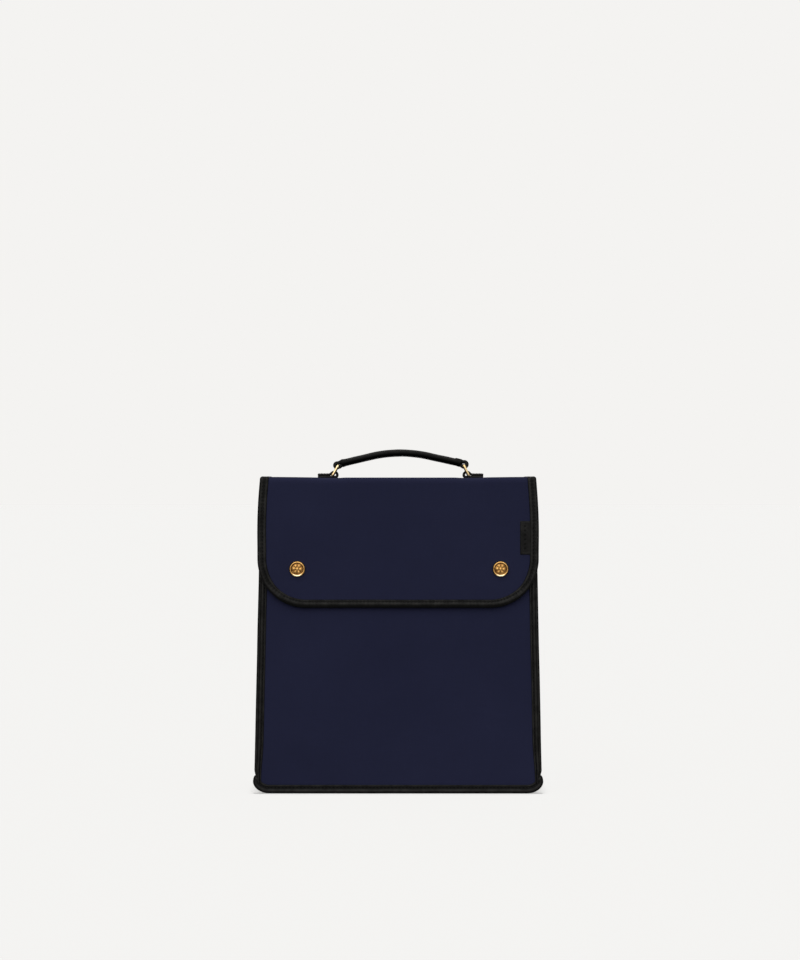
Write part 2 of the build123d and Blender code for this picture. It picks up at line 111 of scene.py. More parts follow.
CANVAS = 1.2 * MM
LINING = 0.6 * MM
BINDING = 8.5 * MM
CORNER_R = 14 * MM
FLAP_CORNER_R = 54 * MM
FLAP_BULGE = 71.6 * MM           # height above the flap's lower edge where it is widest
FLAP_SIDE_R = 789 * MM
REAR_W = 1.2 * MM                # the flap's canvas lies on the back panel
STITCH_PITCH = 4 * MM


# ---------------------------------------------------------------- materials
class Nodes:
    """A short way to write the node tree of a material or of the world."""

    def __init__(self, owner):
        owner.use_nodes = True
        self.owner = owner
        self.tree = owner.node_tree
        self.shader = self.tree.nodes.get("Principled BSDF")

    def add(self, kind, *inputs, **settings):
        """A node with its settings, and its first inputs as numbers, colours or sockets."""
        node = self.tree.nodes.new("ShaderNode" + kind)
        for key, value in settings.items():
            setattr(node, key, value)
        for slot, value in enumerate(inputs):
            self.put(node.inputs[slot], value)
        return node

    def put(self, socket, value):
        if isinstance(value, bpy.types.NodeSocket):
            self.tree.links.new(value, socket)
        elif value is not None:
            socket.default_value = value

    def math(self, operation, a, b=None):
        return self.add("Math", a, b, operation=operation).outputs[0]

    def plus(self, a, b):
        return self.math("ADD", a, b)

    def times(self, a, b):
        return self.math("MULTIPLY", a, b)

    def ramp(self, value, low, high, a=0.0, b=1.0):
        """Value from low to high, mapped onto a to b."""
        return self.add("MapRange", value, low, high, a, b).outputs[0]

    def mix(self, factor, a, b):
        """A colour between a and b."""
        node = self.add("Mix", factor, data_type="RGBA")
        self.put(node.inputs[6], a)
        self.put(node.inputs[7], b)
        return node.outputs[2]

    def noise(self, vector, scale, detail=2.0, roughness=0.5):
        return self.add("TexNoise", vector, None, scale, detail, roughness).outputs[0]

    def stretch(self, vector, scale):
        return self.add("Mapping", vector, None, None, scale).outputs[0]

    def attribute(self, name):
        return self.add("Attribute", attribute_name=name)

    def place(self):
        return self.add("TexCoord").outputs["Object"]

    def bump(self, height, distance, strength=1.0, after=None):
        node = self.add("Bump")
        for key, value in (("Strength", strength), ("Distance", distance), ("Height", height),
                           ("Normal", after)):
            self.put(node.inputs[key], value)
        return node.outputs[0]

    def surface(self, **values):
        """Sets the shader's sockets and returns the material."""
        for key, value in values.items():
            self.put(self.shader.inputs[key.replace("_", " ")], value)
        return self.owner


def material(name):
    return Nodes(bpy.data.materials.new(name))


def weave(name, dark, light, pitch, rough, twill=False):
    """Woven cloth. It reads the cloth attribute: the place on the flat cut, in metres."""
    n = material(name)
    cloth = n.attribute("cloth").outputs["Vector"]
    split = n.add("SeparateXYZ", n.stretch(cloth, (1 / pitch, 1 / pitch, 1)))
    warp, weft = split.outputs[0], split.outputs[1]
    across, along = (n.math("ABSOLUTE", n.math("SINE", n.times(way, math.pi))) for way in (warp, weft))
    if twill:
        turn = n.math("FRACT", n.math("DIVIDE", n.plus(warp, n.math("FLOOR", weft)), 3.0))
        over = n.math("GREATER_THAN", turn, 0.34)
    else:
        cell = n.plus(n.math("FLOOR", warp), n.math("FLOOR", weft))
        over = n.math("GREATER_THAN", n.math("FRACT", n.times(cell, 0.5)), 0.25)
    warp_up = n.times(across, n.ramp(along, 0, 1, 0.55, 1))
    weft_up = n.times(along, n.ramp(across, 0, 1, 0.55, 1))
    height = n.add("Mix", over, None, weft_up, warp_up, data_type="FLOAT").outputs[0]
    slub_warp = n.noise(n.stretch(cloth, (1400, 45, 1)), 1.0)
    slub_weft = n.noise(n.stretch(cloth, (38, 1500, 1)), 1.0)
    slubs = n.plus(n.times(slub_warp, 0.5), n.times(slub_weft, 0.5))
    cloud = n.noise(n.place(), 9.0, 3.0, 0.55)
    # The raised threads are painted lighter and the hollows between them darker, a painted shade; slubs and
    # cloud are the cloth's own uneven tone.
    tone = n.plus(n.plus(n.times(slubs, 0.75), n.times(cloud, 0.55)), n.times(height, 0.35))
    relief = n.plus(n.times(height, 0.7), n.times(slubs, 0.6))
    fuzz = n.noise(n.place(), 5200.0)
    return n.surface(Base_Color=n.mix(n.ramp(tone, 0.55, 1.1), dark, light),
                     Roughness=n.ramp(slubs, 0.3, 0.7, rough - 0.05, rough + 0.05),
                     Normal=n.bump(fuzz, 0.05 * MM, 0.4, n.bump(relief, 0.16 * MM, 0.55)),
                     Specular_IOR_Level=0.08)


def leather(name, dark, light, rough):
    """Smooth black leather: fine pebble, pores, and a paler tone from the per-point attribute, which holds
    rubbing wear, painted highlights on ridges and the grip, and painted shade in grooves and at edges.
    """
    n = material(name)
    place = n.place()
    pebble = n.add("TexVoronoi", place, feature="SMOOTH_F1")
    pebble.inputs["Scale"].default_value = 1150.0
    grain = n.ramp(pebble.outputs[0], 0.0, 0.7, 1.0, 0.0)
    pores = n.noise(place, 3600.0, 3.0, 0.6)
    broad = n.noise(place, 130.0, 3.0, 0.6)
    worn_and_lit = n.times(n.attribute("wear_and_painted_light").outputs["Fac"], n.ramp(broad, 0.35, 0.65, 0.5, 1.0))
    tone = n.plus(n.times(broad, 0.3), n.times(worn_and_lit, 0.9))
    gloss = n.plus(broad, n.times(grain, 0.3))
    normal = n.bump(pores, 0.05 * MM, 0.3, n.bump(grain, 0.12 * MM, 0.3))
    return n.surface(Base_Color=n.mix(n.ramp(tone, 0.15, 1.0), dark, light),
                     Roughness=n.ramp(gloss, 0.3, 1.0, rough + 0.1, rough - 0.08),
                     Normal=n.bump(broad, 0.5 * MM, 0.25, normal), Specular_IOR_Level=0.05)


def brass(name):
    """Warm brass: browner patina where the per-point attribute is low, paler where it is high, which on rims
    includes a painted highlight, with faint rubbing marks.
    """
    n = material(name)
    place = n.place()
    stain = n.noise(place, 420.0, 4.0, 0.6)
    polish_and_highlight = n.plus(n.times(n.attribute("wear_and_painted_light").outputs["Fac"], 0.75), n.times(stain, 0.5))
    colour = n.mix(n.ramp(polish_and_highlight, 0.2, 0.8), (0.075, 0.026, 0.005, 1), (0.56, 0.32, 0.10, 1))
    colour = n.mix(n.ramp(polish_and_highlight, 0.8, 1.1), colour, (0.95, 0.80, 0.48, 1))
    rubbed = n.noise(n.stretch(place, (900, 900, 5000)), 1.0)
    return n.surface(Base_Color=colour, Roughness=n.ramp(n.plus(stain, rubbed), 0.6, 1.4, 0.17, 0.32),
                     Normal=n.bump(rubbed, 0.02 * MM, 0.25), Metallic=1.0)


def thread(name):
    """Waxed black sewing thread with a fine twist."""
    n = material(name)
    twist = n.noise(n.stretch(n.place(), (2600, 2600, 2600)), 1.0)
    return n.surface(Base_Color=n.mix(twist, (0.001, 0.001, 0.001, 1), (0.004, 0.004, 0.004, 1)),
                     Roughness=n.ramp(twist, 0.2, 0.8, 0.45, 0.65), Normal=n.bump(twist, 0.06 * MM, 0.6),
                     Specular_IOR_Level=0.15)


def fibreboard(name, dark, light):
    """Pressed board or cotton cord, for the pieces that are sewn in out of sight."""
    n = material(name)
    fibres = n.noise(n.stretch(n.place(), (900, 900, 2400)), 1.0, 4.0, 0.65)
    return n.surface(Base_Color=n.mix(fibres, dark, light), Roughness=n.ramp(fibres, 0, 1, 0.8, 0.95),
                     Normal=n.bump(fibres, 0.1 * MM, 0.5))


CLOTH = weave("navy_canvas", (0.0072, 0.0083, 0.0224, 1), (0.0108, 0.0122, 0.0310, 1), 0.62 * MM, 0.9)
TWILL = weave("lining_twill", (0.013, 0.0135, 0.018, 1), (0.024, 0.025, 0.031, 1), 0.42 * MM, 0.7, True)
HIDE = leather("black_leather", (0.0008, 0.0008, 0.0007, 1), (0.0135, 0.0132, 0.0124, 1), 0.5)
METAL = brass("aged_brass")
THREAD = thread("black_thread")
BOARD = fibreboard("stiffener_board", (0.014, 0.013, 0.012, 1), (0.030, 0.028, 0.025, 1))
CORD = fibreboard("cotton_cord", (0.35, 0.32, 0.26, 1), (0.5, 0.47, 0.4, 1))
SLOT_MATERIALS = {"canvas": CLOTH, "lining": TWILL, "leather": HIDE, "brass": METAL,
                  "board": BOARD, "core": CORD}


# ---------------------------------------------------------------- mesh helpers
def make_mesh(name, points, faces, slot, material=None, cloth=None, wear_and_painted_light=None, closed=True):
    """A smooth-shaded piece with the attributes that its material reads; closed turns its faces out."""
    mesh = bpy.data.meshes.new(name)
    mesh.from_pydata([tuple(p) for p in points], [], faces)
    mesh.validate()
    mesh.polygons.foreach_set("use_smooth", [True] * len(mesh.polygons))
    if cloth is not None:
        flat = mesh.attributes.new("cloth", "FLOAT_VECTOR", "POINT")
        flat.data.foreach_set("vector", np.array(cloth, np.float32).ravel())
    worn_and_lit = mesh.attributes.new("wear_and_painted_light", "FLOAT", "POINT")
    worn_and_lit.data.foreach_set("value", np.zeros(len(points), np.float32) if wear_and_painted_light is None
                          else np.array(wear_and_painted_light, np.float32))
    mesh.materials.append(material or SLOT_MATERIALS[slot])
    mesh.update()
    piece = bpy.data.objects.new(name, mesh)
    bpy.context.scene.collection.objects.link(piece)
    if closed:
        shell = bmesh.new()
        shell.from_mesh(mesh)
        bmesh.ops.recalc_face_normals(shell, faces=shell.faces)
        shell.to_mesh(mesh)
        shell.free()
    return piece


def place_on(piece, move, *nodes):
    """The piece stands for the CAD nodes and moves with a body; with a fold's four values instead, it only
    keeps its place.
    """
    if nodes:
        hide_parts(*nodes)
    if isinstance(move, str):
        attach(piece, move)
    else:
        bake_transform(piece)


def shell_faces(count, size, base=0, closed=False):
    """Faces over a row of rings of points, with a cap at each end unless the row is closed."""
    faces = []
    for i in range(count if closed else count - 1):
        a, b = base + i * size, base + (i + 1) % count * size
        faces += [(a + j, a + (j + 1) % size, b + (j + 1) % size, b + j) for j in range(size)]
    if not closed:
        faces.append(tuple(base + j for j in reversed(range(size))))
        faces.append(tuple(base + (count - 1) * size + j for j in range(size)))
    return faces


def skin(name, rings, slot, closed=False, wear_and_painted_light=None):
    """A skin over a row of rings of points, with the wear and painted light values of one ring or of every
    point.
    """
    points = [p for ring in rings for p in ring]
    worn_and_lit = list(wear_and_painted_light) * (len(points) // len(wear_and_painted_light))
    return make_mesh(name, points, shell_faces(len(rings), len(rings[0]), 0, closed), slot, wear_and_painted_light=worn_and_lit)


def around(count):
    """Angles evenly round a circle."""
    return [2 * math.pi * k / count for k in range(count)]


def cloth_sheet(name, rows, columns, at, slot, thickness, flat=None, rubbed=None):
    """A cloth with two faces and a rim. at(i, j, w) is a point, with i and j from 0 to 1."""
    points, cloth, wear_and_painted_light = [], [], []
    for w in (0.0, -thickness):
        for r in range(rows + 1):
            for c in range(columns + 1):
                i, j = r / rows, c / columns
                points.append(at(i, j, w))
                cloth.append(flat(i, j) if flat else (i, j, 0))
                # rubbed(i, j) gives each point's wear value; on the label it also holds painted shade.
                wear_and_painted_light.append(rubbed(i, j) if rubbed else 0.0)
    width, layer = columns + 1, (rows + 1) * (columns + 1)
    faces = []
    for r in range(rows):
        for c in range(columns):
            a = r * width + c
            quad = (a, a + 1, a + width + 1, a + width)
            faces.append(quad)
            faces.append(tuple(layer + k for k in reversed(quad)))
    edge = [c for c in range(width)]
    edge += [r * width + columns for r in range(1, rows + 1)]
    edge += [rows * width + c for c in range(columns - 1, -1, -1)]
    edge += [r * width for r in range(rows - 1, 0, -1)]
    for k, a in enumerate(edge):
        b = edge[(k + 1) % len(edge)]
        faces.append((b, a, a + layer, b + layer))
    return make_mesh(name, points, faces, slot, cloth=cloth, wear_and_painted_light=wear_and_painted_light)


def smooth(x):
    """0 below 0, 1 above 1, and a smooth step between."""
    x = min(1.0, max(0.0, x))
    return x * x * (3 - 2 * x)


def ripple(x, y, size, amount, seed=0.0):
    """A soft unevenness, the same on every run."""
    return amount * noise.noise(Vector((x / size, y / size, seed)))


def resample(path, step):
    """A 2-D or 3-D line as evenly spaced points, with their distance along it."""
    path = np.array(path, float)
    gaps = np.linalg.norm(np.diff(path, axis=0), axis=1)
    distance = np.concatenate([[0], np.cumsum(gaps)])
    count = max(2, round(distance[-1] / step) + 1)
    at = np.linspace(0, distance[-1], count)
    return np.stack([np.interp(at, distance, path[:, k]) for k in range(path.shape[1])], 1), at


def arc(cx, cy, radius, start, end, count=16):
    """Points on an arc, angles in degrees."""
    angles = [math.radians(start + (end - start) * k / count) for k in range(count + 1)]
    return [(cx + radius * math.cos(a), cy + radius * math.sin(a)) for a in angles]


def rounded_loop(half_a, half_b, radius, steps):
    """A rounded rectangle's points."""
    loop = []
    for ca, cb, start in ((1, 1, 0), (-1, 1, 90), (-1, -1, 180), (1, -1, 270)):
        loop += arc(ca * (half_a - radius), cb * (half_b - radius), radius, start, start + 90, steps)
    return loop


def seam(name, places, move, length=2.7 * MM, radius=0.5 * MM):
    """Stitches of thread, one at each (middle, along, out), dipping into the leather at their ends."""
    rng = random.Random(len(places))
    angles, steps = around(6), 6
    points, faces = [], []
    for middle, along, out in places:
        along, out = Vector(along).normalized(), Vector(out).normalized()
        side = along.cross(out)
        along = (along + side * rng.uniform(0.04, 0.12)).normalized()
        faces += shell_faces(steps + 1, len(angles), len(points))
        for k in range(steps + 1):
            t = -1 + 2 * k / steps
            centre = Vector(middle) + along * (t * length / 2) - out * (0.55 * radius * t * t * 1.6)
            size = radius * (1 - 0.55 * t**4)
            points += [centre + out * (size * math.cos(a)) + side * (size * math.sin(a)) for a in angles]
    place_on(make_mesh(name, points, faces, "leather", THREAD, closed=False), move)


def ring_of_wire(name, path, radius, sides, up):
    """A round bar along a closed 3-D line."""
    rings = []
    for k, p in enumerate(path):
        along = (path[(k + 1) % len(path)] - path[k - 1]).normalized()
        side = along.cross(up).normalized()
        over = side.cross(along)
        rings.append([p + radius * (math.cos(a) * side + math.sin(a) * over) for a in around(sides)])
    return skin(name, rings, "brass", closed=True, wear_and_painted_light=[0.95])


def strap(name, path, thickness, width, at):
    """A flat leather strap with rounded edges along a 2-D line. at(a, b, c) puts a point in the frame,
    where a, b are on the line's plane and c is across the strap."""
    line, _ = resample(path, 0.5 * MM)
    edge = thickness * 0.45
    outline = rounded_loop(width / 2, thickness / 2, edge, 4)
    wear_and_painted_light = [0.9 * smooth((abs(c) - width / 2 + 1.2 * MM) / (1.0 * MM)) for c, _ in outline]
    rings = []
    for k in range(len(line)):
        along = line[min(k + 1, len(line) - 1)] - line[max(k - 1, 0)]
        along = along / np.linalg.norm(along)
        squeeze = 1 - 0.25 * (1 - smooth(min(k, len(line) - 1 - k) / 2))
        normal = np.array((-along[1], along[0])) * squeeze
        rings.append([at(*(line[k] + normal * t), c) for c, t in outline])
    return skin(name, rings, "leather", wear_and_painted_light=wear_and_painted_light)


def rim_wear_and_highlight(share, angle):
    """A round piece is rubbed brighter towards its rim, and a painted highlight makes it brighter at its
    lower side and its upper right.
    """
    low = max(0.0, -math.sin(angle))
    high = max(0.0, math.cos(angle - 0.9))
    return (0.54 + 0.8 * low**4 + 0.2 * high) * smooth((share - 0.78 + 0.1 * low**2) / 0.07)


def lathe(name, profile, centre, x_dir, normal, sides, relief=None):
    """A round brass piece from (radius, height) points, with an optional relief(radius, angle)."""
    x_dir = Vector(x_dir)
    y_dir = normal.cross(x_dir)
    rings, wear_and_painted_light = [], []
    widest = max(radius for radius, _ in profile)
    for radius, height in profile:
        ring = []
        for a in around(sides):
            lift = relief(radius, a) if relief else 0.0
            out = x_dir * math.cos(a) + y_dir * math.sin(a)
            ring.append(centre + out * radius + normal * (height + lift))
            # Raised relief is polished paler; the rim is paler from rubbing wear and a painted highlight.
            wear_and_painted_light.append(max(0.06 + 0.9 * lift / MM if relief else 0.5, rim_wear_and_highlight(radius / widest, a)))
        rings.append(ring)
    return skin(name, rings, "brass", wear_and_painted_light=wear_and_painted_light)


def in_mm(*points):
    """Points given in millimetres."""
    return [(a * MM, b * MM) for a, b in points]


# ---------------------------------------------------------------- outlines
class Path:
    """A 2-D line with its inward side on the left, read by distance along it."""

    def __init__(self, points):
        self.points, self.distance = resample(points, 0.25 * MM)
        along = np.gradient(self.points, self.distance, axis=0)
        along /= np.linalg.norm(along, axis=1)[:, None]
        inward = np.stack([-along[:, 1], along[:, 0]], 1)
        self.rows = np.concatenate([self.points, inward], 1).tolist()
        self.length = float(self.distance[-1])
        self.step = self.length / (len(self.rows) - 1)

    def at(self, s, u=0.0):
        """The point at distance s, moved in by u."""
        k = min(max(s / self.step, 0.0), len(self.rows) - 1.000001)
        first, share = int(k), k % 1.0
        x, y, nx, ny = (a + (b - a) * share for a, b in zip(self.rows[first], self.rows[first + 1]))
        return x + nx * u, y + ny * u


TAPER = half_width(0) - half_width(1)
SLANT = math.hypot(1, TAPER)


def body_path(out, corner_r, long=1.0):
    """The body's outline, moved out at its sides, from the top left, round the base, to the top right.
    long stretches the corners along the base."""
    lean = math.degrees(math.atan(TAPER))
    left = [(-half_width(MOUTH_Z) - out * SLANT, MOUTH_Z)]
    edge = -half_width(corner_r) - out * SLANT
    shape = arc(0, corner_r, corner_r, 180 - lean, 270, 24)
    left += [(edge + (x - shape[0][0]) * long, z) for x, z in shape]
    return Path(left + [(-x, z) for x, z in reversed(left)])


def flap_half(z):
    """Half width of the flap above its widest place."""
    rise = max(0.0, z - FLAP_LOW - FLAP_BULGE)
    return FLAP_HALF - FLAP_SIDE_R + math.sqrt(FLAP_SIDE_R**2 - rise**2)


# The flap's middle surface, seen from the side: up the front, over the top and down the back.
FOLD_Z = (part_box("flap_top_panel")[1].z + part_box("flap_top_lining")[0].z) / 2
FOLD_GAP = FOLD_Z - FLAP_PANEL_TOP
MID_W = 4.1 * MM                 # from the front panel out to the flap's middle surface
FRONT_FOLD = Vector((0, -half_depth(FOLD_Z) - MID_W, FOLD_Z))
REAR_FOLD = Vector((0, half_depth(FOLD_Z) + REAR_W / 2, FOLD_Z))


FLAP_LINE = Path([(-half_depth(FLAP_LOW) - MID_W, FLAP_LOW),
                  *arc(FRONT_FOLD.y + FOLD_GAP, FOLD_Z - FOLD_GAP, FOLD_GAP, 180, 90, 12),
                  *arc(REAR_FOLD.y - FOLD_GAP, FOLD_Z - FOLD_GAP, FOLD_GAP, 90, 0, 12),
                  (half_depth(STRIP_LOW) + REAR_W / 2, STRIP_LOW)])
FRONT_END = (FLAP_PANEL_TOP - FLAP_LOW) / math.cos(TILT)
TOP_START = FRONT_END + FOLD_GAP * math.pi / 2
TOP_END = TOP_START + REAR_FOLD.y - FRONT_FOLD.y - 2 * FOLD_GAP
REAR_START = TOP_END + FOLD_GAP * math.pi / 2
STRIP_END = FLAP_LINE.length
TOP_MIDDLE = (TOP_START + TOP_END) / 2
GRIP_LOW, GRIP_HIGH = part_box("handle_grip")
HANDLE_MID = (GRIP_LOW.x + GRIP_HIGH.x) / 2


def top_sag(x):
    """How far the flap's top hangs down between the bag's sides, and under the handle's tabs."""
    away = abs(x - HANDLE_MID)
    tab = smooth((away - 61 * MM) / (5 * MM)) * (1 - smooth((away - 89 * MM) / (6 * MM)))
    return 0.65 * MM * (1 - smooth((abs(x) - 70 * MM) / (72 * MM))) + 0.38 * MM * tab


def flap_point(x, s, n):
    """A point on the flap: across, along from its lower edge, and out from its middle surface."""
    y, z = FLAP_LINE.at(s, n)
    rise = smooth((z - FLAP_PANEL_TOP + 12 * MM) / (12 * MM))
    return x, y, z - rise * top_sag(x)


def stacked(s, front, top, rear):
    """A height in the flap's layers, which differs on the front, the top and the back."""
    a = smooth((s - FRONT_END) / (TOP_START - FRONT_END))
    b = smooth((s - TOP_END) / (REAR_START - TOP_END))
    return front + (top - front) * a + (rear - top) * b


def flap_width(s):
    """Half width of the flap at a distance along it."""
    return flap_half(min(FLAP_LOW + s, FOLD_Z))


def flap_path():
    """The flap's outline on its flat cut, from the rear left, round the lower edge, to the right."""
    left = [(-flap_width(REAR_START), REAR_START)]
    s = TOP_START
    while s > FLAP_BULGE:
        left.append((-flap_width(s), s))
        s -= 4 * MM
    left.append((-FLAP_HALF, FLAP_BULGE))
    left += arc(-FLAP_HALF + FLAP_CORNER_R, FLAP_CORNER_R, FLAP_CORNER_R, 180, 270, 40)
    return Path(left + [(-x, s) for x, s in reversed(left)])


def front_place(x, z, w):
    return x, -half_depth(z) - w, z


def back_place(x, z, w):
    return x, half_depth(z) + w, z


# ---------------------------------------------------------------- bound edges
# Half of a binding's section: (distance in from the edge, height over the cloth), in mm.
SIDE_SECTION = [(0.0, -1.2), (0.03, -0.65), (0.18, -0.2), (0.55, 0.22), (1.05, 0.62), (1.5, 0.94),
                (1.95, 1.06), (2.4, 0.94), (2.8, 0.6), (3.15, 0.4), (3.5, 0.55), (3.9, 0.95),
                (4.4, 1.22), (5.0, 1.3), (5.6, 1.2), (6.1, 0.8), (6.5, 0.36), (6.85, 0.24),
                (7.2, 0.36), (7.6, 0.76), (8.1, 1.04), (8.6, 1.04), (9.05, 0.8), (9.35, 0.4), (9.5, 0.0)]
FLAP_SIDE_SECTION = [(0.0, -1.2), (0.03, -0.7), (0.2, -0.25), (0.55, 0.15), (0.95, 0.55), (1.4, 0.92),
                     (1.9, 1.2), (2.4, 1.34), (2.9, 1.3), (3.4, 1.1), (3.9, 0.84), (4.3, 0.7),
                     (4.7, 0.62), (5.1, 0.6), (5.5, 0.62), (5.9, 0.72), (6.3, 0.92), (6.7, 1.14),
                     (7.1, 1.28), (7.5, 1.32), (7.9, 1.28), (8.3, 1.1), (8.7, 0.8), (9.05, 0.42),
                     (9.3, 0.0)]
FLAP_SECTION = [(0.0, -1.2), (0.03, -0.7), (0.2, -0.3), (0.55, 0.02), (1.0, 0.28), (1.5, 0.5),
                (2.0, 0.68), (2.5, 0.84), (2.95, 0.99), (3.35, 1.15), (3.75, 1.26), (4.15, 1.3),
                (4.55, 1.27), (4.95, 1.16), (5.35, 1.0), (5.75, 0.86), (6.15, 0.78), (6.55, 0.75),
                (6.95, 0.77), (7.3, 0.84), (7.7, 0.95), (8.1, 1.0), (8.5, 0.84), (8.85, 0.45), (9.0, 0.0)]
BASE_SECTION = [(0.0, -1.2), (0.03, -0.7), (0.18, -0.2), (0.5, 0.3), (1.0, 0.72), (1.6, 1.1),
                (2.2, 1.38), (2.7, 1.54), (3.15, 1.56), (3.6, 1.46), (4.1, 1.22), (4.7, 0.92),
                (5.3, 0.72), (5.9, 0.6), (6.5, 0.56), (7.0, 0.64), (7.5, 0.9), (8.0, 1.2),
                (8.5, 1.32), (9.0, 1.12), (9.35, 0.7), (9.5, 0.0)]


def u_section(half, stack, slot_from, back_reach=8.5):
    """A folded binding's closed section round a stack of layers; half is its front half in mm."""
    lip = half[-1][0]
    front = [(u, w) for u, w in half if w > -stack / 2]
    back = [(u * back_reach / lip, -stack - w) for u, w in reversed(front)]
    inside = [(back_reach - 0.05, -stack), (slot_from, -stack), (slot_from, 0.0), (lip - 0.05, 0.0)]
    return [(u * MM, w * MM) for u, w in [*front[::-1], *back[::-1], *inside]]


def between(first, second, t):
    """Pairs of numbers mixed one by one."""
    return [(a + (c - a) * t, b + (d - b) * t) for (a, b), (c, d) in zip(first, second)]


def binding(name, path, s0, s1, section, place, move, node, stitches=((6.8 * MM, 0.5 * MM),), cut=0.0,
            seed=0.0, pinch=None, other=None, other_rows=None, share=None, shaded=1.0 * MM):
    """Sweeps a binding's section along an outline, with rows of (distance in, depth) stitch holes.
    cut slants, rounds and creases the two ends; pinch(s) moves the outer and the inner edge;
    share(s) is how much of the other section and rows to use; shaded is the width of the outer edge
    that is left dark as painted shade."""
    count = max(2, round((s1 - s0) / (0.8 * MM)))
    rings, wear_and_painted_light = [], []
    for k in range(count + 1):
        s = s0 + (s1 - s0) * k / count
        to_start, to_end = s - s0, s1 - s
        slant = cut * (1 - smooth(to_start / (14 * MM))) - cut * (1 - smooth(to_end / (14 * MM)))
        near = min(to_start, to_end)
        squeeze = 1 - 0.35 * (1 - smooth(near / (1.2 * MM)))
        drift = ripple(s, seed, 45 * MM, 0.16 * MM, seed)
        hole = (0.5 + 0.5 * math.cos(2 * math.pi * (s - s0) / STITCH_PITCH)) ** 2
        outer, inner = pinch(s) if pinch else (0.0, 0.0)
        crease = 0.0
        if cut:
            turn = max(0.0, 1 - near / (8 * MM))
            outer += 2.6 * MM * (1 - math.sqrt(max(0.0, 1 - turn * turn)))
            for at_crease in (2.4 * MM, 4.8 * MM, 7.6 * MM, 10.8 * MM):
                crease -= 0.5 * MM * math.exp(-(((near - at_crease) / (0.5 * MM)) ** 2))
            crease += 0.35 * MM * math.exp(-(((near - 0.9 * MM) / (0.9 * MM)) ** 2))
        mixed, dark, rows = section, shaded, stitches
        if share:
            mixed, rows = between(section, other, share(s)), between(stitches, other_rows, share(s))
            dark += 1.4 * MM * share(s)
        top = max(b for _, b in mixed)
        ring = []
        for a, b in mixed:
            part = min(1.0, a / (9 * MM))
            px, pz = path.at(s + slant * a, a + outer * (1 - part) - inner * part + drift)
            lift = 0.0
            face = b > top - 1.15 * MM
            if face:
                lift += crease
                for stitch_u, depth in rows:
                    lift -= depth * hole * math.exp(-(((a - stitch_u) / (0.95 * MM)) ** 2))
                lift += ripple(s, a, 7 * MM, 0.09 * MM, seed + 3) + ripple(s, a, 30 * MM, 0.1 * MM, seed + 5)
            ring.append(place(px, pz, (b * squeeze if face else b) + lift))
            # Ridges are paler from rubbing wear and a painted highlight, and puckers between stitches paler
            # as painted highlight; the outer edge, creases and stitch holes are darker as painted shade.
            ridge_wear_and_highlight = smooth((b - top + 1.0 * MM) / (0.75 * MM)) * smooth((a - dark) / (0.9 * MM))
            wear_and_painted_light.append(ridge_wear_and_highlight + lift / (0.6 * MM) if face else 0.0)
        rings.append(ring)
    place_on(skin(name, rings, "leather", wear_and_painted_light=[max(0.0, value) for value in wear_and_painted_light]), move, node)


def edge_seam(name, path, s0, s1, place, move, u_at, w):
    """A row of stitches along an outline at u_at(s), at height w."""
    places = []
    count = int((s1 - s0) / STITCH_PITCH) - 1
    for k in range(count):
        s = s0 + (k + 1) * STITCH_PITCH
        u = u_at(s)
        a, b, c = (Vector(place(*path.at(s + d, u), w)) for d in (-0.5 * MM, 0.0, 0.5 * MM))
        outer = Vector(place(*path.at(s, u), w + 1 * MM))
        places.append((b, c - a, outer - b))
    seam(name, places, move)


# ---------------------------------------------------------------- body cloth
BODY = "bag_body"
THICKNESS = {"canvas": CANVAS, "lining": LINING}
CLOTH_TOP = MOUTH_Z - 1.4 * MM
LINING_LOW = 12.4 * MM           # the linings stand on the base lining
EDGE_IN = 1.4 * MM               # the canvas ends inside the bindings' folds
WALL_IN = 9.1 * MM               # from the outline in to the gussets
WALL = 9.8 * MM                  # and to the linings


def lay(name, slot, nodes, rows, columns, at, flat, move, size, held, **cut):
    """A sheet of canvas or lining that stands for CAD nodes; size is not used."""
    piece = cloth_sheet(name, rows, columns, at, slot, THICKNESS[slot], flat)
    place_on(piece, move, *nodes)


def middle(node):
    """The middle of a CAD node's box."""
    return sum(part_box(node), Vector()) / 2


SNAP_X = [middle(f"snap_cap_{side}").x for side in ("left", "right")]
SNAP_Z = middle("snap_cap_right").z
CAP_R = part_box("snap_cap_right")[1].x - SNAP_X[1]


def at_snap(x, z):
    """How near a place is to a snap, from 0 to 1."""
    return max(math.exp(-((math.hypot(x - snap, z - SNAP_Z) / (14 * MM)) ** 2)) for snap in SNAP_X)


def bow(x, z, half, low, high, amount, seed):
    """How far a cloth panel bows out between its seams."""
    across = smooth((half - abs(x)) / (45 * MM))
    up = smooth((z - low) / (40 * MM)) * smooth((high - z) / (40 * MM))
    waves = ripple(x, z * 2.2, 90 * MM, 0.55 * MM, seed) + ripple(x, z, 34 * MM, 0.16 * MM, seed + 9)
    return across * up * (amount + waves)


def body_edge(z, inset):
    """Half width of the body at a height, moved in by an inset and round the lower corners."""
    r = CORNER_R - inset
    if r > 0 and z < CORNER_R:
        short = r - math.sqrt(max(0.0, r**2 - (CORNER_R - z) ** 2))
        return half_width(CORNER_R) - inset * SLANT - short
    return half_width(z) - inset * SLANT


